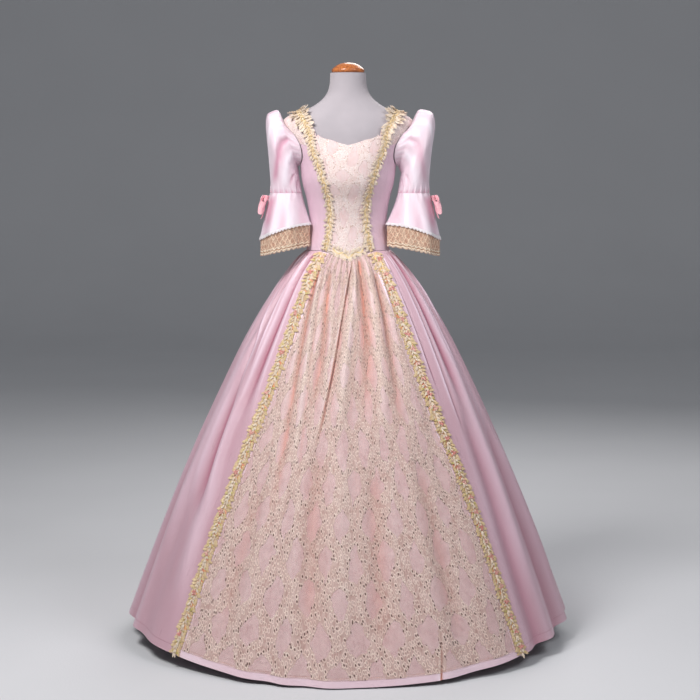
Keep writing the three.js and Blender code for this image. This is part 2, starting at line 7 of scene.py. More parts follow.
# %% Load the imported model
import math
import random
import bpy
import numpy as np
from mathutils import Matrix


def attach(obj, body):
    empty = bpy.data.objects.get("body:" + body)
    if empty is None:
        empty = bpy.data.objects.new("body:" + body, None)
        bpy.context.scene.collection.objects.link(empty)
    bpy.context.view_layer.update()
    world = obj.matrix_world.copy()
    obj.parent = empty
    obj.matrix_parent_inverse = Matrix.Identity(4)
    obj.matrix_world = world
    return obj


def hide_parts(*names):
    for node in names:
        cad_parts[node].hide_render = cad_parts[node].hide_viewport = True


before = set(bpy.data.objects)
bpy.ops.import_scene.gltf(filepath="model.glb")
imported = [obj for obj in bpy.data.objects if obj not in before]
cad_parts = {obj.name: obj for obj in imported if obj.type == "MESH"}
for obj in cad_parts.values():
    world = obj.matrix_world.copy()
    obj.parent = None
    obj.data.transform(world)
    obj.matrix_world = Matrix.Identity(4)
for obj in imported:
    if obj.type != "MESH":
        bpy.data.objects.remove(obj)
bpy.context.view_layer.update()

# %% [markdown]
# The camera stands about five metres in front, a little above the waist, with a long lens, as a shop's picture of a
# gown is taken. Light comes from two broad soft boxes and a pale room.

# %% Camera, floor and light
scene = bpy.context.scene
camera = bpy.data.objects.new("camera", bpy.data.cameras.new("camera"))
scene.collection.objects.link(camera)
camera.location = (0.0055, -5.1, 1.35)
camera.rotation_euler = (math.radians(84), 0, 0)
camera.data.sensor_width = 36
camera.data.lens = 92.3
scene.camera = camera

# The floor runs back and curves up into a wall, as paper does in a studio.
bpy.ops.mesh.primitive_plane_add(size=24, location=(0, -4, 0))
floor = bpy.context.object
floor.name = "floor"
bpy.ops.object.mode_set(mode="EDIT")
bpy.ops.mesh.select_mode(type="EDGE")
bpy.ops.mesh.select_all(action="DESELECT")
bpy.ops.object.mode_set(mode="OBJECT")
for edge in floor.data.edges:
    edge.select = all(floor.data.vertices[i].co.y > 0 for i in edge.vertices)
bpy.ops.object.mode_set(mode="EDIT")
backdrop_steps = ((0.9, 0.10), (0.8, 0.35), (0.55, 0.6), (0.3, 0.8), (0.0, 9.0))  # back, up
for back_by, rise_by in backdrop_steps:
    bpy.ops.mesh.extrude_region_move(TRANSFORM_OT_translate={"value": (0, back_by, rise_by)})
bpy.ops.object.mode_set(mode="OBJECT")
bpy.ops.object.shade_smooth()

# name, place, the point it faces, size, watts, colour
lamps = (
    ("soft_box_left", (-1.2, -1.8, 3.15), (0, 0, 1.5), 1.0, 93, (1.0, 0.985, 0.98)),
    ("soft_box_right", (1.7, -1.7, 2.9), (0, 0, 1.35), 1.2, 30, (0.96, 0.97, 1.0)),
    ("soft_box_back", (0.8, 3.0, 3.2), (0, 0, 1.2), 2.0, 50, (1.0, 0.98, 0.97)),
)
for name, place, aim, size, watts, colour in lamps:
    lamp = bpy.data.objects.new(name, bpy.data.lights.new(name, "AREA"))
    lamp.data.size, lamp.data.energy, lamp.data.color = size, watts, colour
    lamp.location = place
    facing = lamp.location.copy()
    facing.x, facing.y, facing.z = (place[i] - aim[i] for i in range(3))
    lamp.rotation_euler = facing.to_track_quat("Z", "Y").to_euler()
    scene.collection.objects.link(lamp)

room = bpy.data.worlds.new("room")
scene.world = room
room.use_nodes = True
room.node_tree.nodes["Background"].inputs["Color"].default_value = (0.80, 0.82, 0.86, 1)
room.node_tree.nodes["Background"].inputs["Strength"].default_value = 0.26
scene.view_settings.view_transform = "Standard"
print("camera, floor and", len(lamps), "soft boxes")

# %% [markdown]
# A material is a sum worked out at every point of the cloth. The Wire class holds one value of that sum, so that a
# formula can be written as plain arithmetic.

# %% Arithmetic in materials
def set_input(tree, socket, value):
    if isinstance(value, Wire):
        tree.links.new(value.socket, socket)
    else:
        socket.default_value = value


class Wire:
    """One value in a material, written like a number."""

    def __init__(self, tree, socket):
        self.tree, self.socket = tree, socket

    def node(self, kind, settings, inputs, output=0):
        """Any other node: its type, its settings, then its sockets."""
        made = self.tree.nodes.new(kind)
        for key, value in settings.items():
            setattr(made, key, value)
        for key, value in inputs.items():
            set_input(self.tree, made.inputs[key], value)
        return Wire(self.tree, made.outputs[output])

    def sum(self, operation, *values):
        """A Math node of the given operation."""
        return self.node("ShaderNodeMath", {"operation": operation}, dict(enumerate(values)))

    def __add__(self, other): return self.sum("ADD", self, other)
    def __radd__(self, other): return self.sum("ADD", other, self)
    def __sub__(self, other): return self.sum("SUBTRACT", self, other)
    def __rsub__(self, other): return self.sum("SUBTRACT", other, self)
    def __mul__(self, other): return self.sum("MULTIPLY", self, other)
    def __rmul__(self, other): return self.sum("MULTIPLY", other, self)
    def __truediv__(self, other): return self.sum("DIVIDE", self, other)
    def __abs__(self): return self.sum("ABSOLUTE", self)


def cosine(a): return a.sum("COSINE", a)
def part(a): return a.sum("FRACT", a)
def least(a, b): return a.sum("MINIMUM", a, b)
def most(a, b): return a.sum("MAXIMUM", a, b)


def rise(a, start, end):
    """0 before start, 1 after end, and a soft slope between them."""
    return a.node("ShaderNodeMapRange", {"interpolation_type": "SMOOTHSTEP"},
                  {"Value": a, "From Min": start, "From Max": end, "To Min": 0.0, "To Max": 1.0})


def blend(share, first, second):
    """A colour between two others."""
    return share.node("ShaderNodeMix", {"data_type": "RGBA"}, {0: share, 6: first, 7: second}, 2)


def at(x, y, z=0.0): return x.node("ShaderNodeCombineXYZ", {}, {0: x, 1: y, 2: z})


def cloud(place, scale, detail=2.0):
    return place.node("ShaderNodeTexNoise", {}, {"Vector": place, "Scale": scale, "Detail": detail})


def cells(place, scale, feature="F1", output="Distance"):
    settings = {"feature": feature, "voronoi_dimensions": "2D"}
    return place.node("ShaderNodeTexVoronoi", settings, {"Vector": place, "Scale": scale}, output)


def tone(red, green, blue):
    """A colour given as it looks on a screen, from 0 to 255, turned into light."""
    return tuple(((v / 255 + 0.055) / 1.055) ** 2.4 if v > 10 else v / 3294 for v in (red, green, blue)) + (1.0,)


def begin(name):
    """A new material, its shader and its node tree."""
    material = bpy.data.materials.new(name)
    material.use_nodes = True
    tree = material.node_tree
    return material, tree.nodes["Principled BSDF"], tree


def cloth_map(tree, name="cloth"):
    """The x and y of one of the cloth's maps: its own in metres, its distance from seams, or its folds."""
    maps = tree.nodes.new("ShaderNodeUVMap")
    maps.uv_map = name
    parts = tree.nodes.new("ShaderNodeSeparateXYZ")
    tree.links.new(maps.outputs[0], parts.inputs[0])
    return Wire(tree, parts.outputs[0]), Wire(tree, parts.outputs[1])


def finish(shader, tree, reach, **inputs):
    """Joins values to a shader's sockets. A height becomes a bump that reaches that far, in metres."""
    for name, value in inputs.items():
        name = name.replace("_", " ").title()
        if name == "Height":
            bump = value.node("ShaderNodeBump", {}, {"Strength": 1.0, "Distance": reach, "Height": value})
            tree.links.new(bump.socket, shader.inputs["Normal"])
        else:
            set_input(tree, shader.inputs[name], value)


def still(shader, **values):
    """Sets values that are the same all over a material."""
    for name, value in values.items():
        shader.inputs[name.replace("_", " ").title().replace("Ior", "IOR")].default_value = value


print("material arithmetic is ready")

# %% [markdown]
# Satin has a fine slanting weave, a broad soft sheen and a few faint crinkles from handling. Its colour has painted
# light in it: painted shade, deeper and rosier, in the bottom of a fold, where light bounces from one side to the
# other, a painted shadow line in the corner of a sharp pleat, a painted pale lavender highlight on the crests, and in
# the pink satin painted shade towards the hem. A second map tells each point how far it is from its seam, for the small
# puckers that sewing leaves, and a third, of the folds, how deep in a trough or how high on a crest it lies.

# %% Satin
satin_thread = 0.0009
pucker_length, pucker_reach = 0.011, 0.022
stitch_length = 0.0042


def satin(name, body, crest, deep, roughness=0.30, crinkle=1.0, hem_stitch=None, sheen=0.22, lower=None):
    material, shader, tree = begin(name)
    x, y = cloth_map(tree)
    side, end = cloth_map(tree, "seams")
    trough, ridge = cloth_map(tree, "folds")
    drift = cloud(at(x * 5.0, y * 2.0), 1.0, 3.0)
    colour = blend(rise(drift, 0.35, 0.7) * 0.35, body, crest)
    # painted shade: the colour darkens towards the hem
    if lower:
        colour = blend((1.0 - rise(y, 0.0, 0.75)) * 0.6, colour, lower)
    # painted light from the folds map: a painted highlight on crests, painted shade in troughs, and a painted shadow
    # line where a pleat is deepest
    colour = blend(ridge, colour, crest)
    colour = blend(least(trough, 1.0), colour, deep)
    colour = blend(rise(trough, 1.05, 1.6) * 0.85, colour, shadow_line)
    weave = part((x + y * 0.37) / satin_thread) * 0.10 + part(y / 0.0007) * 0.05
    soft = cloud(at(x * 26.0, y * 9.0), 1.0, 3.0) * 1.2 + cloud(at(x * 7.0, y * 3.0), 1.0, 2.0) * 1.6
    pucker = cosine(y * (2 * math.pi / pucker_length) + cloud(at(x, y), 60.0) * 5.0)
    pucker = pucker * (1.0 - rise(side, 0.0, pucker_reach)) * 0.22
    height = soft * crinkle + pucker + weave
    height = height - (1.0 - rise(side, 0.0004, 0.0022)) * 0.5
    rough = roughness + (cloud(at(x * 30.0, y * 6.0), 1.0) - 0.5) * 0.14
    if hem_stitch:
        line = 1.0 - rise(abs(end - hem_stitch), 0.0004, 0.0009)
        stitch = line * rise(abs(part(x / stitch_length) - 0.5), 0.12, 0.17)
        colour = blend(stitch * 0.75, colour, deep)
        turned = 1.0 - rise(end, hem_stitch - 0.0015, hem_stitch)
        height = height - line * 0.7 + turned * 0.12 + stitch * 0.4
        rough = rough + turned * 0.05
    finish(shader, tree, 0.0014, base_color=colour, roughness=rough, height=height)
    still(shader, sheen_weight=sheen, sheen_roughness=0.42, sheen_tint=tone(248, 226, 244), specular_ior_level=0.62)
    return material


# In each satin, the crest colour is a painted highlight on fold crests and also tints it at random. The deep colour is
# painted shade in fold troughs and the colour of its hem stitches. shadow_line is a painted shadow in a pleat's corner,
# and lower is painted shade towards the hem.
pink = tone(208, 168, 180)
lavender = tone(236, 212, 226)
rose = tone(176, 102, 124)
shadow_line = tone(112, 66, 84)
coral = tone(238, 140, 112)
satin_pink = satin("satin_pink", pink, lavender, rose, hem_stitch=0.022, lower=tone(196, 152, 164))
satin_bodice = satin("satin_bodice", tone(226, 194, 208), lavender, rose, crinkle=0.7)
satin_sleeve = satin("satin_sleeve", tone(232, 210, 221), tone(246, 238, 247), tone(206, 142, 166), crinkle=0.8)
satin_under_lace = satin("satin_under_lace", tone(234, 204, 214), tone(246, 230, 240), tone(228, 150, 124),
                         roughness=0.32, hem_stitch=0.024, sheen=0.12)
satin_ribbon = satin("satin_ribbon", tone(246, 180, 190), tone(252, 222, 230), tone(214, 92, 104), crinkle=0.6)
satin_inside = satin("satin_inside", tone(250, 176, 154), tone(252, 196, 178), coral, crinkle=0.5, sheen=0.1)
print("satin in five shades")

# %% [markdown]
# The lace has a fine net ground. Two families of waving lines touch and part again, so that they leave pointed oval
# openings. Short dark gold dashes edge every line.

# %% Lace
net_mesh = 0.0016


def wave_lattice(x, y, width, height):
    """How far a point is from the nearest line of a pointed oval lattice, as a share of its width."""
    sway = cosine(y * (2 * math.pi / height)) * 0.25
    return least(abs(part(x / width - sway + 0.5) - 0.5), abs(part(x / width + sway) - 0.5))


def flower(px, py, petals, size):
    """1 on a flower of that many petals round (px, py) = 0, fading at its edge, and its distance from the middle."""
    reach = (px * px + py * py).sum("SQRT", px * px + py * py)
    turn = px.sum("ARCTAN2", py, px)
    edge = size * (0.68 + 0.32 * abs(cosine(turn * (petals / 2))))
    return 1.0 - rise(reach / edge, 0.82, 1.0), reach


def lace(name, width, height, loops, thread, shade, speck, ground, bright):
    """Lace with openings that wide and high, so many loops to a metre, colours for its threads and a painted highlight.
    """
    material, shader, tree = begin(name)
    x, y = cloth_map(tree)
    trough, ridge = cloth_map(tree, "folds")
    place = at(x, y)
    bent_x = x + (cloud(place, 17.0) - 0.5) * 0.056
    bent_y = y + (cloud(at(x + 3.7, y), 13.0) - 0.5) * 0.070
    near = wave_lattice(bent_x, bent_y, width, height) + (cloud(place, 11.0, 1.0) - 0.5) * 0.26
    band = 1.0 - rise(near, 0.21, 0.27)
    border = 1.0 - rise(abs(near - 0.19), 0.03, 0.08)
    # Loops of thread stand close together in the bands, many with a dark eye.
    looped = at(x + y * 0.22, y * 0.58)
    loop = cells(looped, loops)
    chance = cells(looped, loops, "F1", "Color")
    rim = 1.0 - rise(abs(loop - 0.36), 0.05, 0.14)
    crowd = most(border, band * 0.35)
    picked = rise(chance.node("ShaderNodeSeparateColor", {}, {0: chance}) + crowd * 0.70, 1.0, 1.1)
    speckle = (1.0 - rise(loop, 0.14, 0.25)) * picked
    streak = cloud(at(x * 300.0, y * 55.0), 1.0, 3.0)
    net = 0.5 - 0.25 * (cosine(x * (2 * math.pi / net_mesh)) + cosine(y * (2 * math.pi / net_mesh)))
    cover = most(band * (0.62 + rim * 0.3), net * 0.16 + ground)
    colour = blend(rise(streak + (cloud(place, 34.0) - 0.5) * 0.5, 0.34, 0.66), thread, shade)
    # painted highlights on the loops' rims and on the bands' borders
    colour = blend(rim * rise(streak, 0.42, 0.6) * 0.7, colour, bright)
    colour = blend(border * rise(streak, 0.5, 0.62) * 0.4, colour, bright)
    # painted highlight on the folds' crests and painted salmon shade in their troughs, where the lace also thins so
    # that the painted shade of the satin below shows
    colour = blend(ridge * 0.4, colour, bright)
    colour = blend(least(trough, 1.0) * 0.35, colour, tone(222, 150, 126))
    colour = blend(speckle, colour, speck)
    cover = cover * (1.0 - least(trough, 1.0) * 0.40)
    cover = most(cover, speckle * 0.92)
    height_of = band * 0.4 + rim * band * 0.5 + streak * 0.3 - speckle * 0.3
    finish(shader, tree, 0.0007, base_color=colour, alpha=cover, height=height_of,
           roughness=0.70 - rim * 0.2)
    still(shader, sheen_weight=0.2, specular_ior_level=0.35)
    return material


skirt_lace = lace("skirt_lace", 0.105, 0.210, 100.0, tone(232, 205, 196), tone(204, 168, 158), tone(92, 64, 60), 0.20,
                  tone(252, 236, 222))
bodice_lace = lace("bodice_lace", 0.064, 0.120, 170.0, tone(255, 240, 236), tone(248, 222, 216), tone(190, 150, 134),
                   0.34, tone(254, 244, 236))
print("two scales of the same lace")

# %% [markdown]
# Braid is lace too, but narrow, thick and gold, with a leafy edge. The cuffs are a stiff gold lace with a corded
# border, and the flounces end in a narrow white edging.

# %% Braid, cuff lace and edging
braid_repeat, scallop_repeat = 0.034, 0.017
neck_braid_width, skirt_braid_width = 0.024, 0.040


def braid_lace(name, width, gold, pale, flowers):
    """Gold braid. Its map runs from -width/2 to width/2 across, and along its length."""
    material, shader, tree = begin(name)
    x, y = cloth_map(tree)
    place = at(x, y)
    knot = cells(place, 230.0, "DISTANCE_TO_EDGE")
    repeat = part(y / braid_repeat) - 0.5
    swing = cosine(y * (2 * math.pi / braid_repeat)) * width * 0.17
    stem = 1.0 - rise(abs(x - swing), 0.0008, 0.0026)
    bloom, reach = flower(x - swing * 0.9, repeat * braid_repeat, 5, width * 0.25)
    scallop = 0.33 + 0.09 * abs(cosine(y * (2 * math.pi / scallop_repeat)))
    scallop = width * (scallop + (cloud(at(y * 60.0, x * 8.0), 1.0) - 0.35) * 0.2)
    inside = 1.0 - rise(abs(x), scallop - 0.0012, scallop)
    cover = inside * most(most(rise(knot, 0.03, 0.10), stem), most(bloom, 1.0 - rise(abs(x), width * 0.2, width * 0.3)))
    colour = blend(rise(cloud(place, 90.0), 0.4, 0.6), gold, pale)
    colour = blend((1.0 - rise(knot, 0.02, 0.07)) * 0.6, colour, tone(188, 142, 104))
    colour = blend(stem * 0.7, colour, tone(246, 214, 128))
    if flowers:
        colour = blend(rise(cloud(at(x * 40.0, y * 30.0), 1.0), 0.54, 0.66) * 0.5, colour, tone(220, 196, 120))
        warm = rise(cloud(at(y * 9.0, x), 1.0), 0.40, 0.56)
        colour = blend(bloom * warm * 0.9, colour, tone(236, 142, 112))
        colour = blend(1.0 - rise(reach, 0.0012, 0.0022), colour, tone(250, 214, 120))
    height = inside * 0.4 + stem * 0.6 + bloom * 0.5 - (1.0 - rise(knot, 0.02, 0.1)) * 0.6
    finish(shader, tree, 0.0009, base_color=colour, alpha=cover, height=height, roughness=0.58 - stem * 0.15)
    still(shader, specular_ior_level=0.5)
    return material


def thread_work(name, body, dark, light):
    """Close embroidery, for leaves and cords."""
    material, shader, tree = begin(name)
    x, y = cloth_map(tree)
    lines = part((x + y) / 0.0011)
    colour = blend(rise(cloud(at(x, y), 120.0), 0.4, 0.62), body, light)
    colour = blend((1.0 - rise(abs(lines - 0.5), 0.1, 0.4)) * 0.35, colour, dark)
    finish(shader, tree, 0.0004, base_color=colour, height=lines, roughness=0.5 + lines * 0.1)
    still(shader, specular_ior_level=0.5)
    return material


def cuff_net(name):
    """Stiff gold net with upright sprays and two cords near its edge. Its y runs from the edge upwards."""
    material, shader, tree = begin(name)
    x, y = cloth_map(tree)
    place = at(x, y)
    knot = cells(at(x, y * 0.8), 190.0, "DISTANCE_TO_EDGE")
    spray = wave_lattice(x + (cloud(place, 90.0) - 0.5) * 0.010, y, 0.015, 0.024)
    low_cord, high_cord = 0.004, 0.012
    cords = most(1.0 - rise(abs(y - low_cord), 0.0008, 0.0018), 1.0 - rise(abs(y - high_cord), 0.0008, 0.0018))
    stem = 1.0 - rise(spray, 0.05, 0.11)
    cover = most(most(cords, stem * 0.95), most((1.0 - rise(knot, 0.04, 0.10)) * 0.85, 0.42))
    colour = blend(rise(cloud(place, 70.0), 0.4, 0.6), tone(240, 206, 180), tone(224, 176, 150))
    colour = blend(stem * 0.6, colour, tone(248, 226, 198))
    colour = blend(cords, colour, tone(250, 234, 210))
    colour = blend((1.0 - rise(abs(y - (low_cord + high_cord) / 2), 0.0005, 0.0024)) * 0.5, colour, tone(176, 134, 98))
    height = cords + stem * 0.6 + (1.0 - rise(knot, 0.05, 0.12)) * 0.4
    finish(shader, tree, 0.0008, base_color=colour, alpha=cover, height=height, roughness=0.6 - cords * 0.15)
    return material


skirt_braid_lace = braid_lace("skirt_braid_lace", skirt_braid_width, tone(220, 188, 152), tone(234, 208, 188),
                              True)
neck_braid_lace = braid_lace("neck_braid_lace", neck_braid_width, tone(242, 218, 188), tone(248, 232, 212),
                             False)
gold_thread = thread_work("gold_thread", tone(230, 200, 152), tone(188, 148, 108), tone(246, 224, 182))
cream_thread = thread_work("cream_thread", tone(240, 218, 194), tone(206, 170, 142), tone(252, 240, 222))
coral_thread = thread_work("coral_thread", tone(226, 146, 136), tone(196, 100, 96), tone(244, 200, 186))
green_thread = thread_work("green_thread", tone(214, 196, 116), tone(166, 146, 84), tone(238, 222, 158))
white_thread = thread_work("white_thread", tone(248, 240, 244), tone(214, 196, 208), tone(255, 252, 253))
gold_net = cuff_net("gold_net")
print("braid, threads and net")

# %% [markdown]
# The form is covered in ivory jersey, its cap is a turned piece of varnished wood, and the stand is brushed steel.

# %% Form, wood, metal and floor
def begin_solid(name):
    """A new material for a whole body, and the place of each point of it, in metres, at once and as x, y and z."""
    material, shader, tree = begin(name)
    place = Wire(tree, tree.nodes.new("ShaderNodeTexCoord").outputs["Object"])
    parts = tree.nodes.new("ShaderNodeSeparateXYZ")
    tree.links.new(place.socket, parts.inputs[0])
    return material, shader, tree, place, *(Wire(tree, out) for out in parts.outputs)


jersey, shader, tree, place, x, y, z = begin_solid("ivory_jersey")
knit = part(z / 0.0011) * 0.5 + part((x + y) / 0.0013) * 0.4
finish(shader, tree, 0.0003, height=knit + cloud(place, 30.0) * 1.5,
       base_color=blend(rise(cloud(place, 7.0, 3.0), 0.3, 0.7), tone(168, 161, 166), tone(180, 172, 177)),
       roughness=0.78 + knit * 0.1)
still(shader, sheen_weight=0.25)

cap_wood, shader, tree, place, x, y, z = begin_solid("cap_wood")
grain = part(cloud(at(x * 14.0, y * 3.0, z * 14.0), 2.0, 3.0) * 9.0)
finish(shader, tree, 0.0003, height=grain * 0.4 + cloud(at(x * 400.0, y * 30.0, z * 400.0), 1.0),
       base_color=blend(grain, tone(196, 116, 58), tone(142, 74, 34)), roughness=0.34 + grain * 0.12)
still(shader, coat_weight=0.4)

stand_metal, shader, tree, place, x, y, z = begin_solid("stand_metal")
brushed = cloud(at(x * 20.0, y * 20.0, z * 900.0), 1.0)
finish(shader, tree, 0.0002, height=brushed, roughness=0.26 + brushed * 0.14,
       base_color=blend(cloud(place, 12.0), tone(196, 197, 200), tone(168, 169, 172)))
still(shader, metallic=1.0)
for node in ("form_pole", "form_base"):
    bpy.data.objects[node].data.materials.clear()
    bpy.data.objects[node].data.materials.append(stand_metal)

floor_paint, shader, tree, place, *_ = begin_solid("floor_paint")
finish(shader, tree, 0.0004, height=cloud(place, 160.0), roughness=0.7 + cloud(place, 3.0) * 0.1,
       base_color=blend(cloud(place, 1.5), tone(206, 207, 210), tone(212, 213, 216)))
floor.data.materials.append(floor_paint)
print("form, wood, metal and floor")

# %% [markdown]
# The dress form is a stack of rings, as a maker builds it up from sections: half its width, and its reach to the
# front and the back, at each height. The bodice is the same surface moved out by the thickness of what is worn.

# %% The body and the bodice as surfaces
cloth_ease, satin_thickness, seam_gap = 0.0028, 0.0018, 0.0003
# height, half width, front, back
form_rows = (
    (0.940, 0.150, 0.112, 0.118), (1.000, 0.142, 0.106, 0.112), (1.060, 0.126, 0.096, 0.097),
    (1.110, 0.112, 0.085, 0.082), (1.180, 0.105, 0.080, 0.073), (1.240, 0.112, 0.092, 0.080),
    (1.295, 0.126, 0.114, 0.091), (1.345, 0.133, 0.115, 0.098), (1.385, 0.150, 0.107, 0.101),
    (1.425, 0.171, 0.096, 0.096), (1.450, 0.181, 0.086, 0.088), (1.464, 0.176, 0.079, 0.081),
    (1.476, 0.158, 0.073, 0.075), (1.487, 0.133, 0.067, 0.069), (1.500, 0.106, 0.062, 0.063),
    (1.518, 0.079, 0.056, 0.057), (1.540, 0.060, 0.051, 0.053), (1.565, 0.052, 0.048, 0.051),
    (1.597, 0.050, 0.046, 0.050),
)


def curve(rows, x, column=1):
    """A smooth curve through one column of a table whose rows are in order of their first column."""
    keys = np.array([row[0] for row in rows], float)
    values = np.array([row[column] for row in rows], float)
    wide_keys, wide_values = np.pad(keys, 1, "edge"), np.pad(values, 1, "edge")
    slopes = (wide_values[2:] - wide_values[:-2]) / (wide_keys[2:] - wide_keys[:-2])
    i = np.clip(np.searchsorted(keys, x, side="right") - 1, 0, len(keys) - 2)
    step = keys[i + 1] - keys[i]
    t = np.clip((x - keys[i]) / step, 0, 1)
    rest = 1 - t
    return (values[i] * (1 + 2 * t) * rest**2 + values[i + 1] * t**2 * (3 - 2 * t)
            + step * (slopes[i] * t * rest**2 - slopes[i + 1] * t**2 * rest))


def xyz(x, y, z): return np.stack(np.broadcast_arrays(x, y, z), axis=-1)
def mix(a, b, share): return a + (b - a) * share
def ease(x, start, end):
    t = np.clip((x - start) / (end - start), 0, 1)
    return t * t * (3 - 2 * t)


def normal_of(surface, u, v, du, dv):
    square = np.cross(surface(u + du, v) - surface(u - du, v), surface(u, v + dv) - surface(u, v - dv))
    return square / np.linalg.norm(square, axis=-1, keepdims=True)


def form_skin(angle, height):
    """The form at an angle in degrees from the centre front, towards the wearer's left."""
    turn = np.radians(angle)
    reach = np.where(np.cos(turn) > 0, curve(form_rows, height, 2), curve(form_rows, height, 3))
    return xyz(curve(form_rows, height) * np.sin(turn), -reach * np.cos(turn), height)


def bodice_skin(angle, height):
    """The outer side of the bodice's satin."""
    return form_skin(angle, height) + normal_of(form_skin, angle, height, 0.2, 0.0002) * (cloth_ease + satin_thickness)


def waist_height(angle): return 1.100 - 0.028 * np.clip(1 - np.abs(angle) / 40, 0, 1) ** 1.5


print("waist", [round(float(waist_height(a)), 3) for a in (0, 20, 40)])

# %% [markdown]
# One function sews every panel: it lays a fine grid over a surface, lifts it, gives it its maps, and thickens it
# inwards with Solidify. Seam distances are measured along the grid, so puckers follow the real edges.

# %% A panel of cloth from a surface
def grid_lengths(points):
    """How far along each row and each column of a grid its points lie."""
    across = np.linalg.norm(np.diff(points, axis=1), axis=-1)
    down = np.linalg.norm(np.diff(points, axis=0), axis=-1)
    return (np.concatenate([np.zeros((len(points), 1)), np.cumsum(across, 1)], 1),
            np.concatenate([np.zeros((1, points.shape[1])), np.cumsum(down, 0)], 0))


def as_cloth(name, mesh, thickness, smooth, inner=0):
    """Puts a mesh in the scene, thickens it inwards and smooths it where it turns by less than so many degrees."""
    made = bpy.data.objects.new(name, mesh)
    scene.collection.objects.link(made)
    bpy.ops.object.select_all(action="DESELECT")
    bpy.context.view_layer.objects.active = made
    made.select_set(True)
    shell = made.modifiers.new("thickness", "SOLIDIFY")
    shell.thickness, shell.offset, shell.material_offset = thickness, -1, inner
    bpy.ops.object.modifier_apply(modifier=shell.name)
    bpy.ops.object.shade_smooth_by_angle(angle=math.radians(smooth))
    return made


def panel(name, place, us, vs, materials, size=None, lift=0.0, thickness=0.0012, tube=False, folds=None,
          mirror=False, map_v="up", center=None):
    """A shell of cloth over a surface. Size is its flat width and length, for the weave's own scale."""
    u, v = np.meshgrid(us, vs)
    points = place(u, v)
    du, dv = np.gradient(points, axis=1), np.gradient(points, axis=0)
    if tube:
        du[:, 0] = du[:, -1] = (points[:, 1] - points[:, -2]) / 2
    normals = np.cross(du, dv)
    normals /= np.maximum(np.linalg.norm(normals, axis=-1, keepdims=True), 1e-12)
    middle = points.mean(axis=1, keepdims=True) if tube else points * (0, 0, 1)
    if center is not None:
        middle = np.array(center)
    facing = 1 if np.sum(normals * (points - middle)) > 0 else -1
    points = points + normals * facing * lift
    along, down = grid_lengths(points)
    if size:
        flat_x = (u - us[0]) / (us[-1] - us[0]) * size[0] - size[0] / 2
        flat_y = (v - vs[0]) / (vs[-1] - vs[0]) * size[1]
    else:
        flat_x, flat_y = along - along[:, -1:] / 2, down
    if map_v == "down":
        flat_y = flat_y.max(axis=0, keepdims=True) - flat_y
    from_side = np.full(u.shape, 1.0) if tube else np.minimum(along, along[:, -1:] - along)
    from_end = np.minimum(down, down[-1:] - down) if map_v == "up" else down[-1:] - down
    # the folds map holds how deep in a trough and how high on a crest each point lies, from which the materials paint
    # shade and highlight
    marks = folds(u, v) if folds else (np.zeros(u.shape), np.zeros(u.shape))
    maps = {"cloth": (flat_x, flat_y), "seams": (from_side, from_end), "folds": marks}
    rows, columns = u.shape
    used = columns - 1 if tube else columns
    vertices = points[:, :used].reshape(-1, 3)
    if mirror:
        vertices = vertices * (-1, 1, 1)
        facing = -facing
    j, i = np.meshgrid(np.arange(rows - 1), np.arange(columns - 1), indexing="ij")
    corners = [(j, i), (j, i + 1), (j + 1, i + 1), (j + 1, i)][::facing]
    faces = np.stack([r * used + c % used for r, c in corners], -1).reshape(-1, 4)
    loops = [np.stack([r, c], -1).reshape(-1, 2) for r, c in corners]
    mesh = bpy.data.meshes.new(name)
    mesh.from_pydata(vertices.tolist(), [], faces.tolist())
    for label, (mx, my) in maps.items():
        layer = mesh.uv_layers.new(name=label)
        picked = np.stack([np.stack([mx[r[:, 0], r[:, 1]], my[r[:, 0], r[:, 1]]], -1) for r in loops], 1)
        layer.data.foreach_set("uv", picked.reshape(-1).astype(np.float32))
    for material in materials:
        mesh.materials.append(material)
    return as_cloth(name, mesh, thickness, 70, len(materials) - 1)


def hand_over(piece, nodes, slot, cut=None, held="stretched", area=None, rests_on=(), with_pieces=()):
    """Puts a piece under the root, hides the imported parts it stands for, and does the same for what is sewn on it;
    its cut is not used.
    """
    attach(piece, "root")
    if nodes:
        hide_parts(*nodes)
    for sewn_on in with_pieces:
        hand_over(sewn_on, [], slot)


def both(name, nodes, slot, make, **how):
    """Makes a piece for the wearer's left, and its mirror image for the right."""
    for side, mirror in (("left", False), ("right", True)):
        piece = make(f"{name}_{side}", mirror)
        own = {k: ([w.replace("SIDE", side) for w in v] if k == "rests_on" else v) for k, v in how.items()}
        hand_over(piece, [n.replace("SIDE", side) for n in nodes], slot, **own)


print("the panel maker is ready")

# %% [markdown]
# The torso and the neck cap are built by hand from a ring: extrude it, lift it, size it, and again at the next
# section. The torso's front half is then drawn in or out on its own, because a body isn't the same depth both ways.

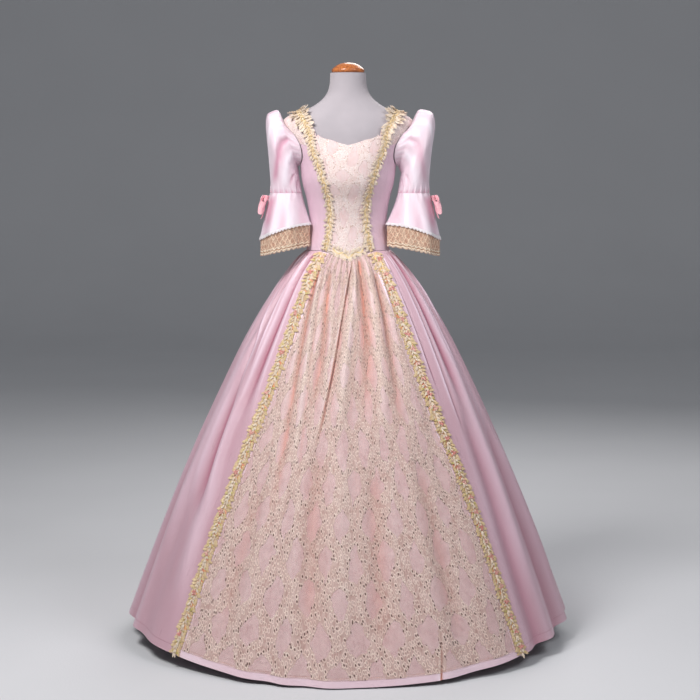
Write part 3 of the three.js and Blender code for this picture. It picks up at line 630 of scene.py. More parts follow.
# %% Dress form
def ring_stack(name, rows, corners):
    """A closed body from rings of (height, half width, front, back), extruded one from another."""
    bpy.ops.object.select_all(action="DESELECT")
    height, width, front, back = rows[0]
    bpy.ops.mesh.primitive_circle_add(vertices=corners, radius=1, fill_type="NGON", location=(0, 0, 0))
    made = bpy.context.object
    made.name = made.data.name = name
    bpy.ops.object.mode_set(mode="EDIT")
    bpy.ops.mesh.select_mode(type="VERT")
    bpy.ops.mesh.select_all(action="SELECT")
    bpy.ops.transform.resize(value=(width, back, 1), center_override=(0, 0, 0))
    bpy.ops.transform.translate(value=(0, 0, height))
    before = (height, width, back)
    for height, width, front, back in rows[1:]:
        bpy.ops.mesh.extrude_region_move(TRANSFORM_OT_translate={"value": (0, 0, height - before[0])})
        bpy.ops.transform.resize(value=(width / before[1], back / before[2], 1), center_override=(0, 0, height))
        before = (height, width, back)
    bpy.ops.object.mode_set(mode="OBJECT")
    # The front half: each ring's front points are picked and scaled towards the middle plane.
    bpy.ops.object.mode_set(mode="EDIT")
    for height, width, front, back in rows:
        bpy.ops.mesh.select_all(action="DESELECT")
        bpy.ops.object.mode_set(mode="OBJECT")
        for vertex in made.data.vertices:
            vertex.select = abs(vertex.co.z - height) < 1e-4 and vertex.co.y < -1e-5
        bpy.ops.object.mode_set(mode="EDIT")
        bpy.ops.transform.resize(value=(1, front / back, 1), center_override=(0, 0, height))
    bpy.ops.mesh.select_all(action="SELECT")
    bpy.ops.mesh.normals_make_consistent(inside=False)
    bpy.ops.object.mode_set(mode="OBJECT")
    return made


sections = [(float(h), float(curve(form_rows, h)), float(curve(form_rows, h, 2)), float(curve(form_rows, h, 3)))
            for h in np.concatenate([np.linspace(0.940, 1.42, 25), np.linspace(1.43, 1.597, 22)])]
torso = ring_stack("form_cover", sections, 72)
torso.data.materials.append(jersey)
bpy.ops.object.shade_smooth_by_angle(angle=math.radians(50))
hand_over(torso, ["form_torso"], "form_cover")

cap_rows = [(1.5973 + h, r, r, r) for h, r in ((0, 0.0425), (0.0012, 0.0448), (0.0035, 0.046), (0.0085, 0.046),
            (0.0105, 0.0450), (0.013, 0.0420), (0.0165, 0.0382), (0.0205, 0.0330), (0.0235, 0.0275), (0.0258, 0.0215),
            (0.0272, 0.0150), (0.0282, 0.0080), (0.0287, 0.0030))]
cap = ring_stack("neck_cap", cap_rows, 64)
cap.data.materials.append(cap_wood)
bpy.ops.object.shade_smooth_by_angle(angle=math.radians(50))
hand_over(cap, ["form_neck_cap"], "wood")
print("form:", len(torso.data.polygons), "faces; cap:", len(cap.data.polygons))

# %% [markdown]
# The bodice is cut in panels that meet at curved seams: a front under lace, side fronts, side backs, backs with a
# covered centre closing, and small shoulder pieces under lace. Every seam is an angle at a height.

# %% Edges and seams of the bodice
neckline_rows = ((0, 1.393), (8, 1.399), (17, 1.408), (25, 1.414), (29, 1.423), (33, 1.446), (43, 1.471), (66, 1.486),
                 (90, 1.490), (114, 1.486), (136, 1.473), (152, 1.452), (166, 1.441), (180, 1.437))
front_seam_rows = ((1.070, 34), (1.110, 31.5), (1.160, 28), (1.228, 26.5), (1.295, 31), (1.360, 39), (1.390, 41))
back_seam_rows = ((1.100, 155), (1.200, 152), (1.290, 143), (1.400, 124))
side_seam, armhole_height, armhole_reach, armhole_turn = 90.0, 1.400, 0.062, 34.0


def neckline(angle): return curve(neckline_rows, np.abs(angle))
def front_seam(height): return curve(front_seam_rows, height)
def back_seam(height): return curve(back_seam_rows, height)
def armhole(angle, way):
    return armhole_height + way * armhole_reach * np.sqrt(
        np.clip(1 - ((angle - side_seam) / armhole_turn) ** 2, 0, 1))
def yoke_seam(angle): return np.interp(np.abs(angle), (29, 41, 56), (1.423, 1.390, 1.400))
def angle_of(length, height): return np.degrees(length / curve(form_rows, height))
def at_angle(angle): return lambda height: angle + 0 * height


def seamed(left, right, top, top_height):
    """A panel between two seams, from the waist to its top edge."""
    tops, lows = (left(top_height), right(top_height)), (left(1.1), right(1.1))

    def place(u, v):
        low = waist_height(mix(lows[0], lows[1], u)) + seam_gap / 2
        height = mix(low, top(mix(tops[0], tops[1], u)) - seam_gap / 2, v)
        gap = angle_of(seam_gap / 2, height)
        return bodice_skin(mix(left(height) + gap, right(height) - gap, u), height)
    return place


def upright(low, high, start, stop):
    """A panel whose columns stand at fixed angles."""
    def place(u, v):
        angle = mix(start, stop, u)
        return bodice_skin(angle, mix(low(angle) + seam_gap / 2, high(angle) - seam_gap / 2, v))
    return place


front_top = lambda a: np.where(np.abs(a) < 29, neckline(a), yoke_seam(a))
bodice_front = seamed(lambda h: -front_seam(h), front_seam, front_top, 1.390)
side_front = seamed(front_seam, at_angle(side_seam),
                    lambda a: np.where(a < 56, yoke_seam(a), armhole(a, -1)), 1.390)
side_back = seamed(at_angle(side_seam), back_seam, lambda a: armhole(a, -1), 1.400)
seam_heights = np.linspace(1.1, 1.4, 60)
seam_angles = back_seam(seam_heights)
back_low = lambda a: np.where(a < 124, armhole(np.minimum(a, 124), 1),
                              np.interp(a, seam_angles[::-1], seam_heights[::-1]))
side_gap = 0.06  # degrees left open at the side seam and the centre back
bodice_back = upright(back_low, neckline, side_seam + side_gap, 180 - side_gap)
shoulder = upright(lambda a: np.where(a < 56, yoke_seam(a), armhole(a, 1)), neckline, 31.0, side_seam - side_gap)

# Columns crowd towards the ends of the armhole, where its edge is steep.
quarter = np.radians(np.linspace(0, 90, 17))
def over(angles, start, stop): return (np.array(angles) - start) / (stop - start)
armhole_front_angles = side_seam - armhole_turn * np.cos(quarter)
armhole_back_angles = side_seam + armhole_turn * np.sin(quarter)
even = np.linspace
print("bodice seams meet the waist at", front_seam(np.array(1.1)), "and", back_seam(np.array(1.1)), "degrees")

# %% [markdown]
# The panels are sewn with a fine hollow along each seam. The front's and the shoulders' satin is warmer, and lace
# from the same points lies over it.

# %% Bodice panels
over_satin = {"lift": 0.0011, "thickness": 0.0006}  # how lace lies on the satin, in metres
front_us = over(np.concatenate([-even(41, 29, 6)[:-1], even(-29, 29, 45), even(29, 41, 6)[1:]]), -41, 41)
front = panel("bodice_front_satin", bodice_front, front_us, even(0, 1, 90), [satin_under_lace])
hand_over(front, ["bodice_front"], "laced_satin", cut=(0.20, 0.34), area=0.0500, rests_on=["form_cover"])
front_lace = panel("bodice_front_lacework", bodice_front, front_us, even(0, 1, 90), [bodice_lace], **over_satin)
hand_over(front_lace, ["bodice_front_lace"], "lace", cut=(0.20, 0.34), area=0.0500, rests_on=["bodice_front_satin"])

side_front_us = over(np.concatenate([even(41, 56, 10)[:-1], armhole_front_angles]), 41, 90)
side_back_us = over(armhole_back_angles, 90, 124)
back_us = over(np.concatenate([[90 + side_gap], armhole_back_angles[1:], even(124, 155, 32)[1:],
                               even(155, 180 - side_gap, 22)[1:]]), 90 + side_gap, 180 - side_gap)
shoulder_us = over(np.concatenate([even(31, 56, 18)[:-1], armhole_front_angles[:-1], [90 - side_gap]]),
                   31, 90 - side_gap)
# name, what it stands for, slot, material, surface, columns, rows, how it lies, cut, area, what it rests on
paired_panels = (
    ("bodice_side_front_satin", "bodice_side_front", "satin", satin_bodice, side_front, side_front_us, 80, {},
     (0.13, 0.31), 0.034, "form_cover"),
    ("bodice_side_back_satin", "bodice_side_back", "satin", satin_bodice, side_back, side_back_us, 76, {},
     (0.13, 0.31), 0.030, "form_cover"),
    ("bodice_back_satin", "bodice_back", "satin", satin_bodice, bodice_back, back_us, 90, {},
     (0.17, 0.37), 0.045, "form_cover"),
    ("shoulder_satin", "bodice_yoke", "laced_satin", satin_under_lace, shoulder, shoulder_us, 24, {},
     (0.13, 0.11), 0.0080, "form_cover"),
    ("shoulder_lacework", "bodice_yoke_lace", "lace", bodice_lace, shoulder, shoulder_us, 24, over_satin,
     (0.13, 0.11), 0.0080, "shoulder_satin_SIDE"),
)
for name, node, slot, material, surface, us, rows, how, cut, area, under in paired_panels:
    both(name, [node + "_SIDE"], slot,
         lambda label, mirror: panel(label, surface, us, even(0, 1, rows), [material], mirror=mirror, **how),
         cut=cut, area=area, rests_on=[under])


def placket_place(u, v):
    angle = mix(174.5, 185.5, u)
    folded = np.where(angle > 180, 360 - angle, angle)
    points = bodice_back((folded - 90 - side_gap) / (90 - 2 * side_gap), v)
    return points * xyz(np.where(angle > 180, -1, 1), 1, 1)


placket = panel("back_closing", placket_place, even(0, 1, 19), even(0.004, 0.996, 90), [satin_pink], lift=0.0017,
                thickness=0.0011)
hand_over(placket, ["back_placket"], "satin", cut=(0.026, 0.34), rests_on=["bodice_back_satin_left"])
print("bodice panels are sewn")

# %% [markdown]
# The skirt spreads from the waist to a wide hem over a hooped petticoat. Its main folds are listed: each row says
# where a fold runs, how wide and deep it is at its top and bottom, and whether it is a soft valley, a crest or a sharp
# pleat. Small gathers fill the waist between them.

# %% Skirt folds
# how far down the skirt, how far the cloth stands out
swell_rows = ((0, 0.0020), (0.1, 0.0045), (0.25, 0.0060), (0.5, 0.0045), (0.8, 0.0020), (1, 0.0010))
skirt_seam_rows = ((0, 36.5), (0.13, 35.6), (0.25, 36.4), (0.37, 38.4), (0.5, 41.4), (0.67, 44.6), (0.84, 46.4),
                   (1, 48))
waist_reach, skirt_reach = 0.105, 0.620
dome_start, dome_power = 0.02, 0.73
hem_half_width, hem_half_depth, hem_height, hem_rise = 0.625, 0.606, 0.004, 0.058

# kind, depth at the top and bottom, half width at the top and bottom, then (down, angle) along the fold
front_folds = (
    ("pleat", 0.0060, 0.0035, 0.0035, 0.0110, ((0.00, 5.0), (0.05, 0.2), (0.15, -4.2), (0.30, -8.2), (0.48, -13.0))),
    ("valley", 0.0095, 0.0045, 0.0085, 0.0300, ((0.00, 13.5), (0.06, 13.0), (0.15, 11.8), (0.24, 10.3), (0.44, 6.5))),
    ("crest", 0.0060, 0.0050, 0.0060, 0.0160, ((0.01, 8.0), (0.08, 4.5), (0.16, 1.2), (0.28, -2.2), (0.46, -4.5))),
    ("crest", 0.0045, 0.0030, 0.0050, 0.0140, ((0.02, 18.5), (0.18, 16.5), (0.28, 16.0), (0.50, 14.5))),
    ("crest", 0.0040, 0.0025, 0.0035, 0.0090, ((0.04, -26.5), (0.19, -22.5), (0.36, -20.5), (0.60, -19.5))),
    ("valley", 0.0040, 0.0030, 0.0060, 0.0150, ((0.03, -18.5), (0.10, -16.5), (0.22, -14.0), (0.44, -17.0))),
    ("valley", 0.0035, 0.0030, 0.0050, 0.0140, ((0.03, -31.0), (0.20, -27.0), (0.42, -25.0), (0.70, -25.5))),
    ("valley", 0.0040, 0.0035, 0.0060, 0.0170, ((0.04, 27.0), (0.12, 25.5), (0.25, 23.0), (0.46, 21.5))),
    ("valley", 0.0040, 0.0055, 0.0200, 0.0300, ((0.42, -10.5), (0.60, -11.5), (0.80, -10.5), (0.96, -10.0))),
    ("valley", 0.0040, 0.0060, 0.0200, 0.0320, ((0.45, 9.5), (0.62, 9.0), (0.80, 8.8), (0.97, 8.4))),
    ("crest", 0.0040, 0.0060, 0.0200, 0.0300, ((0.40, -2.0), (0.62, -1.8), (0.80, -1.4), (0.98, -1.0))),
    ("valley", 0.0030, 0.0050, 0.0180, 0.0280, ((0.46, 26.0), (0.66, 27.5), (0.84, 29.0), (0.98, 30.0))),
    ("valley", 0.0030, 0.0045, 0.0200, 0.0300, ((0.50, -30.5), (0.70, -33.0), (0.96, -35.0))),
    ("pleat", 0.0010, 0.0030, 0.0060, 0.0080, ((0.84, 24.4), (0.92, 23.8), (1.00, 22.6))),
)
right_folds = (  # the wearer's right, at the left of the picture
    ("pleat", 0.0060, 0.0050, 0.0050, 0.0120, ((0.00, 74.0), (0.09, 70.5), (0.19, 66.0), (0.26, 62.2), (0.37, 60.5))),
    ("valley", 0.0030, 0.0130, 0.0120, 0.0320, ((0.30, 61.0), (0.40, 60.8), (0.54, 60.2), (0.68, 57.5))),
    ("valley", 0.0055, 0.0050, 0.0060, 0.0170, ((0.00, 49.0), (0.05, 50.5), (0.17, 48.6), (0.29, 48.8), (0.44, 50.0))),
    ("pleat", 0.0050, 0.0040, 0.0045, 0.0110, ((0.00, 60.0), (0.08, 59.5), (0.18, 57.5), (0.30, 56.0))),
    ("pleat", 0.0060, 0.0045, 0.0050, 0.0120, ((0.00, 88.0), (0.08, 84.5), (0.17, 80.0), (0.30, 77.5))),
    ("pleat", 0.0050, 0.0035, 0.0045, 0.0120, ((0.00, 99.0), (0.10, 96.0), (0.22, 94.0), (0.34, 92.5))),
    ("crest", 0.0030, 0.0070, 0.0140, 0.0340, ((0.18, 71.5), (0.36, 70.0), (0.60, 70.5), (0.85, 70.0))),
    ("crest", 0.0030, 0.0060, 0.0150, 0.0300, ((0.32, 53.0), (0.50, 54.5), (0.75, 53.5), (0.96, 52.5))),
    ("valley", 0.0040, 0.0080, 0.0220, 0.0400, ((0.40, 82.0), (0.62, 80.0), (0.85, 79.0), (1.00, 78.5))),
)
left_folds = (  # the wearer's left, at the right of the picture
    ("pleat", 0.0060, 0.0045, 0.0045, 0.0110, ((0.00, 47.5), (0.06, 45.5), (0.11, 44.0), (0.24, 44.0), (0.34, 44.5))),
    ("pleat", 0.0060, 0.0050, 0.0045, 0.0120, ((0.00, 57.0), (0.10, 54.0), (0.20, 52.5), (0.34, 51.5), (0.46, 52.0))),
    ("valley", 0.0050, 0.0050, 0.0060, 0.0160, ((0.00, 66.5), (0.08, 64.5), (0.22, 60.5), (0.42, 59.5))),
    ("pleat", 0.0055, 0.0040, 0.0050, 0.0120, ((0.00, 76.0), (0.10, 73.0), (0.22, 69.0), (0.38, 67.0))),
    ("pleat", 0.0055, 0.0045, 0.0050, 0.0130, ((0.00, 90.0), (0.10, 86.0), (0.24, 82.0), (0.36, 80.0))),
    ("pleat", 0.0045, 0.0035, 0.0045, 0.0120, ((0.00, 100.5), (0.10, 97.0), (0.22, 95.0), (0.32, 94.0))),
    ("crest", 0.0035, 0.0070, 0.0140, 0.0300, ((0.22, 64.5), (0.45, 63.0), (0.75, 61.0), (0.97, 60.0))),
    ("valley", 0.0040, 0.0070, 0.0200, 0.0320, ((0.38, 56.5), (0.55, 56.5), (0.78, 56.0), (1.00, 56.5))),
    ("valley", 0.0040, 0.0080, 0.0220, 0.0380, ((0.42, 74.0), (0.62, 72.0), (0.85, 71.0), (1.00, 70.5))),
    ("crest", 0.0035, 0.0060, 0.0220, 0.0380, ((0.45, 84.0), (0.70, 82.0), (0.96, 81.0))),
)
back_folds = (  # both halves of the back are hidden in the picture, and hang alike but not evenly
    ("pleat", 0.0060, 0.0050, 0.0050, 0.0130, ((0.00, 109.0), (0.12, 108.0), (0.26, 109.5), (0.44, 111.0))),
    ("pleat", 0.0050, 0.0040, 0.0050, 0.0120, ((0.00, 120.0), (0.10, 120.5), (0.24, 122.0), (0.34, 123.0))),
    ("pleat", 0.0060, 0.0055, 0.0050, 0.0140, ((0.00, 132.0), (0.12, 132.0), (0.28, 133.5), (0.50, 134.0))),
    ("pleat", 0.0050, 0.0040, 0.0050, 0.0120, ((0.00, 143.5), (0.12, 144.5), (0.30, 145.0))),
    ("pleat", 0.0060, 0.0055, 0.0050, 0.0140, ((0.00, 155.0), (0.14, 156.0), (0.30, 156.5), (0.52, 157.0))),
    ("pleat", 0.0050, 0.0040, 0.0050, 0.0130, ((0.00, 167.0), (0.12, 167.5), (0.34, 168.0))),
    ("crest", 0.0035, 0.0080, 0.0150, 0.0350, ((0.24, 115.5), (0.50, 117.0), (0.96, 118.0))),
    ("valley", 0.0045, 0.0090, 0.0200, 0.0380, ((0.36, 127.0), (0.62, 127.5), (1.00, 128.0))),
    ("crest", 0.0035, 0.0080, 0.0180, 0.0360, ((0.30, 139.5), (0.60, 140.0), (0.98, 141.0))),
    ("valley", 0.0045, 0.0080, 0.0200, 0.0380, ((0.40, 150.5), (0.66, 151.0), (1.00, 151.5))),
    ("crest", 0.0035, 0.0075, 0.0180, 0.0360, ((0.32, 162.0), (0.62, 162.5), (0.98, 163.0))),
    ("valley", 0.0040, 0.0070, 0.0180, 0.0340, ((0.42, 172.5), (0.70, 173.0), (1.00, 173.5))),
)


def spread_at(down):
    """How much of its full width the skirt has that far down: it swells below the waist and then runs straight."""
    first = dome_start**dome_power
    return ((down + dome_start) ** dome_power - first) / ((1 + dome_start) ** dome_power - first)


def reach_at(down): return mix(waist_reach, skirt_reach, spread_at(down))


fullness = {"pleat": 1.7, "valley": 1.7, "crest": 1.5}


def fold(kind, depth, end_depth, width, end_width, path, angle, down):
    """One fold: how far it moves the cloth, how deep in a trough and how high on a crest each point lies."""
    start, stop = path[0][0], path[-1][0]
    t = np.clip((down - start) / (stop - start), 0, 1)
    fade_in = 0.035 if start < 0.05 else 0.12
    strength = ease(down, start - 0.002, start + fade_in)
    strength = strength * (1 if stop > 0.99 else 1 - ease(down, stop - (stop - start) * 0.35, stop + 0.04))
    across = np.radians(angle - curve(path, down)) * reach_at(down) / mix(width, end_width, t)
    amount = mix(depth, end_depth, t) * strength * fullness[kind]
    if kind == "pleat":
        lip = 1 / (1 + np.exp(np.clip(-across * 9, -40, 40)))
        shape = -lip * np.exp(-np.maximum(across, 0) * 0.9) + 0.6 * (1 - lip) * np.exp(-np.maximum(-across, 0) * 1.1)
        # a soft painted shadow under the lip, and a dark painted shadow line in its corner
        low = np.exp(-((across - 0.12) * 2.6) ** 2) + 0.9 * np.exp(-((across - 0.06) * 3.2) ** 2)
        high = np.exp(-((across + 0.5) * 1.8) ** 2)
    elif kind == "valley":
        bottom = np.exp(-(across**2))
        shape = -bottom + 0.22 * np.exp(-((np.abs(across) - 1.9) ** 2) * 2)
        low, high = np.exp(-((across * 1.15) ** 2)), np.exp(-((np.abs(across) - 1.8) ** 2) * 3) * 0.6
    else:
        shape = np.exp(-(across**2))
        low, high = np.exp(-((np.abs(across) - 1.9) ** 2) * 3) * 0.35, shape
    # low and high set the painted shade and painted highlight that the materials lay on each point
    share = np.clip(1.6 * amount / mix(width, end_width, t) - 0.15, 0, 1)
    return amount * shape, low * share, high * share


def gathers(angle, down):
    """Small uneven gathers at the waist, and broader ones that fade towards the hem."""
    turn = np.radians(angle)
    drift = 1.7 * np.sin(turn * 3.1 + 0.7) + 1.1 * np.sin(turn * 7.3 + 2.0)
    fine = np.sin(turn * 92 + drift * 2.2) * 0.0011 * (1 - ease(down, 0.02, 0.17)) * ease(down, -0.004, 0.02)
    fine = fine * (1.2 + 0.8 * np.sin(turn * 11 + 1.0))
    broad = np.sin(turn * 36 + drift * 1.3) * 0.0026 * ease(down, 0.0, 0.06) * (1 - ease(down, 0.2, 0.62))
    hang = np.sin(turn * 17 + drift * 1.6) * 0.0042 * ease(down, 0.25, 0.7)
    return fine + broad * (0.75 + 0.4 * np.sin(turn * 5 + 0.4)) + hang


def folds_for(angle):
    return ((front_folds, angle), (left_folds, angle), (right_folds, -angle), (back_folds, angle), (back_folds, -angle))


def arrays(*values): return np.broadcast_arrays(*(np.asarray(value, float) for value in values))
def around_zero(angle): return np.mod(angle + 180, 360) - 180


def fold_sum(angle, down):
    """Everything that the folds do at a point of the skirt."""
    angle, down = arrays(angle, down)
    moved = curve(swell_rows, down) + gathers(angle, down)
    low, high = np.zeros(angle.shape), np.zeros(angle.shape)
    for table, side_angle in folds_for(angle):
        for kind, depth, end_depth, width, end_width, path in table:
            shift, trough, crest = fold(kind, depth, end_depth, width, end_width, path, side_angle, down)
            moved = moved + shift
            low, high = np.maximum(low, trough), np.maximum(high, crest)
    return moved, low, high


def skirt_skin(angle, down):
    """The outer side of the skirt's satin."""
    angle, down = arrays(angle, down)
    turn = np.radians(angle)
    top = bodice_skin(angle, waist_height(np.abs(around_zero(angle))))
    spread = spread_at(down)
    out = fold_sum(around_zero(angle), down)[0]
    x = mix(top[..., 0], hem_half_width * np.sin(turn), spread) + out * np.sin(turn)
    y = mix(top[..., 1], -hem_half_depth * np.cos(turn), spread) - out * np.cos(turn)
    return xyz(x, y, mix(top[..., 2] - 0.0008, hem_height + hem_rise * np.sin(turn) ** 2, down))


print(sum(len(table) for table in (front_folds, left_folds, right_folds, back_folds)), "folds placed by hand")

# %% [markdown]
# The panels of the skirt meet under the braid, at the side seams and at the centre back. The front is one wide panel
# of satin and lace, gathered into the pointed waist, and the lace stops above a plain hem.

# %% Skirt panels
skirt_side_seam = 100.0


def skirt_seam(down): return curve(skirt_seam_rows, down)
def skirt_turn(length, down): return np.degrees(length / mix(waist_reach, hem_half_width, spread_at(down)))
def braid_half(down): return skirt_turn(mix(0.9, 1.15, down) * skirt_braid_width / 2, down)


def skirt_panel(left, right):
    """A panel of the skirt between two seams, and the marks of its folds."""
    def angle_at(u, down):
        return mix(left(down) + skirt_turn(seam_gap / 2, down), right(down) - skirt_turn(seam_gap / 2, down), u)
    return (lambda u, v: skirt_skin(angle_at(u, v), v),
            lambda u, v: fold_sum(around_zero(angle_at(u, v)), v)[1:])


def down_rows(count, start=0.0, stop=1.0):
    """Rows that crowd towards the waist."""
    return start + (stop - start) * np.linspace(0, 1, count) ** 1.35


front_place, front_marks = skirt_panel(lambda d: -skirt_seam(d), skirt_seam)
skirt_front = panel("skirt_front_satin", front_place, even(0, 1, 250), down_rows(130), [satin_under_lace],
                    size=(1.06, 1.19), folds=front_marks, map_v="down")
hand_over(skirt_front, ["skirt_front"], "laced_satin", cut=(1.06, 1.22), area=0.86, held="gathered",
          rests_on=["form_cover"])
lace_edge = lambda d: skirt_seam(d) - braid_half(d) - skirt_turn(seam_gap, d)
lace_place, lace_marks = skirt_panel(lambda d: -lace_edge(d), lace_edge)
skirt_lacework = panel("skirt_front_lacework", lace_place, even(0, 1, 240), down_rows(125, 0.0, 0.984), [skirt_lace],
                       size=(1.00, 1.17), folds=lace_marks, map_v="down", **over_satin)
hand_over(skirt_lacework, ["skirt_front_lace"], "lace", cut=(1.00, 1.18), area=0.78, held="gathered",
          rests_on=["skirt_front_satin"])
print("skirt front:", len(skirt_front.data.polygons), "faces")


# name, side, first seam, second seam, columns, rows, width of its map, width of its cut, area
skirt_panels = (
    ("skirt_side", "left", skirt_seam, at_angle(skirt_side_seam), 170, 120, 0.62, 0.62, 0.53),
    ("skirt_back", "left", at_angle(skirt_side_seam), at_angle(180.0), 190, 110, 0.86, 0.88, 0.74),
    ("skirt_side", "right", at_angle(-skirt_side_seam), lambda d: -skirt_seam(d), 170, 120, 0.62, 0.62, 0.53),
    ("skirt_back", "right", at_angle(180.0), at_angle(360 - skirt_side_seam), 190, 110, 0.86, 0.88, 0.74),
)
for name, side, left, right, columns, rows, map_width, cut_width, area in skirt_panels:
    place, marks = skirt_panel(left, right)
    piece = panel(f"{name}_satin_{side}", place, even(0, 1, columns), down_rows(rows), [satin_pink],
                  size=(map_width, 1.17), folds=marks, map_v="down")
    hand_over(piece, [f"{name}_{side}"], "satin", cut=(cut_width, 1.20), area=area, held="gathered",
              rests_on=["form_cover"])
print("skirt sides and backs")

# %% [markdown]
# A braid follows a line over the cloth it is sewn to. The strip itself is net, and its leaves are worked in thread
# on top: each is a small arched blade, set in pairs along the strip, so that the edge looks feathery from any side.

# %% Braids
def strip_over(surface, line, width, half_step=0.5, small=0.0005):
    """A strip that follows a line over a surface, its width measured square to the line."""
    def place(across, along):
        u, v = line(along)
        here = surface(u, v)
        along_u = (surface(u + half_step, v) - here) / half_step
        along_v = (surface(u, v + small) - here) / small
        ahead, behind = line(along + 0.01), line(along - 0.01)
        heading = surface(*ahead) - surface(*behind)
        square = np.cross(np.cross(along_u, along_v), heading)
        square *= (across * width)[..., None] / np.linalg.norm(square, axis=-1, keepdims=True)
        uu, uv, vv = ((a * b).sum(-1) for a, b in ((along_u, along_u), (along_u, along_v), (along_v, along_v)))
        su, sv = (square * along_u).sum(-1), (square * along_v).sum(-1)
        scale = 1 / (uu * vv - uv * uv)
        return surface(u + (su * vv - sv * uv) * scale, v + (sv * uu - su * uv) * scale)
    return place


def leaves(name, place, length, width, spacing, size, lift, material, mirror, tilt=38, curl=0.0012, sides=(-1, 1),
           start=0.0, across_at=0.22, petals=1, grow=None):
    """Small arched blades of thread work along a strip whose map is (across, share of its length)."""
    rng = random.Random(len(name) * 7 + int(length * 1000))
    count = int(length / spacing)
    # along a blade, its half width
    profile = ((0.0, 0.16), (0.18, 0.62), (0.42, 1.0), (0.68, 0.82), (0.88, 0.42), (1.0, 0.06))
    vertices, faces, flat = [], [], []
    share = (np.arange(count) + 0.5 + start) / count
    share = share[share < 0.999]
    middle = place(np.zeros(len(share)), share)
    step = 0.4 / count
    ahead = place(np.zeros(len(share)), np.minimum(share + step, 1.0)) - place(np.zeros(len(share)),
                                                                               np.maximum(share - step, 0.0))
    ahead /= np.linalg.norm(ahead, axis=-1, keepdims=True)
    right = place(np.full(len(share), 0.25), share) - place(np.full(len(share), -0.25), share)
    right /= np.linalg.norm(right, axis=-1, keepdims=True)
    up = np.cross(right, ahead)
    up /= np.linalg.norm(up, axis=-1, keepdims=True)
    outwards = middle * (1, 1, 0)
    if np.sum(up * outwards) < 0:
        up = -up
    for n in range(len(share)):
        for side in sides:
            for petal in range(petals):
                angle = math.radians(tilt + rng.uniform(-30, 30) + petal * 360 / petals)
                growth = grow(share[n]) if grow else 1.0
                big = size * rng.uniform(0.68, 1.18) * growth
                way = right[n] * (side * math.cos(angle)) + ahead[n] * math.sin(angle)
                across = np.cross(up[n], way)
                root = middle[n] + right[n] * (side * across_at * width)
                first = len(vertices)
                for t, wide in profile:
                    for k in (-1, 0, 1):
                        rise_by = lift + curl * math.sin(math.pi * min(t * 1.1, 1)) + (0.0004 if k == 0 else 0.0)
                        rise_by += (growth - 1) * 0.010 * t * t
                        point = root + way * (big * t) + across * (k * wide * big * 0.24) + up[n] * rise_by
                        vertices.append(point * ((-1, 1, 1) if mirror else (1, 1, 1)))
                        flat.append((k * wide * big * 0.24 + n * 0.01, big * t))
                for j in range(len(profile) - 1):
                    for k in range(2):
                        a = first + j * 3 + k
                        quad = (a, a + 1, a + 4, a + 3)
                        faces.append(quad if (np.dot(np.cross(across, way), up[n]) > 0) != mirror else quad[::-1])
    mesh = bpy.data.meshes.new(name)
    mesh.from_pydata([tuple(map(float, p)) for p in vertices], [], faces)
    layer = mesh.uv_layers.new(name="cloth")
    index = np.zeros(len(mesh.loops), np.int32)
    mesh.loops.foreach_get("vertex_index", index)
    layer.data.foreach_set("uv", np.array(flat, np.float32)[index].reshape(-1))
    mesh.materials.append(material)
    return as_cloth(name, mesh, 0.0006, 60)


def strip_length(place, count=400):
    points = place(np.zeros(count), np.linspace(0, 1, count))
    return float(np.linalg.norm(np.diff(points, axis=0), axis=-1).sum())


neck_braid_rows = (
    (0, 179.2, 1.4255), (1, 164.8, 1.4297), (2, 150, 1.4426), (3, 135.2, 1.4662), (4, 113.6, 1.4805),
    (5, 90, 1.4848), (6, 66.8, 1.4807), (7, 51.7, 1.4729), (8, 43.4, 1.4615), (9, 38.2, 1.4442), (10, 37.4, 1.4200),
    (11, 39.8, 1.3920), (12, 38.7, 1.3580), (13, 34.5, 1.3260), (14, 30.6, 1.2920), (15, 27.6, 1.2550),
    (16, 26.6, 1.2150), (17, 28, 1.1650), (18, 30.2, 1.1280), (19, 32, 1.1040),
)


def neck_line(along):
    return curve(neck_braid_rows, along), curve(neck_braid_rows, along, 2)


neck_strip = strip_over(bodice_skin, neck_line, neck_braid_width)
neck_place = lambda u, v: neck_strip(u, v * (len(neck_braid_rows) - 1))
neck_length = strip_length(neck_place)


def shoulder_growth(share):
    """The braid's leaves are larger and stand up where it crosses the shoulder."""
    shoulder_at, shoulder_width = 0.34, 0.13
    return 1 + 0.9 * math.exp(-(((share - shoulder_at) / shoulder_width) ** 2))


for side, mirror in (("left", False), ("right", True)):
    strip = panel(f"neck_braid_{side}_net", neck_place, even(-0.5, 0.5, 13), even(0, 1, 460), [neck_braid_lace],
                  size=(neck_braid_width, neck_length), lift=0.0030, thickness=0.0008, mirror=mirror)
    blades = leaves(f"neck_braid_{side}_leaves", neck_place, neck_length, neck_braid_width, 0.0080,
                    0.0140, 0.0034, cream_thread, mirror, tilt=34, grow=shoulder_growth)
    inner = leaves(f"neck_braid_{side}_sprays", neck_place, neck_length, neck_braid_width, 0.0115,
                   0.0095, 0.0042, gold_thread, mirror, tilt=58, start=0.25, across_at=0.05)
    hand_over(strip, [f"neck_braid_{side}"], "braid", cut=(neck_braid_width, round(neck_length, 2)), held="laid",
              rests_on=["bodice_front_lacework"], with_pieces=[blades, inner])
print("neck braid:", round(neck_length, 3), "m each side")

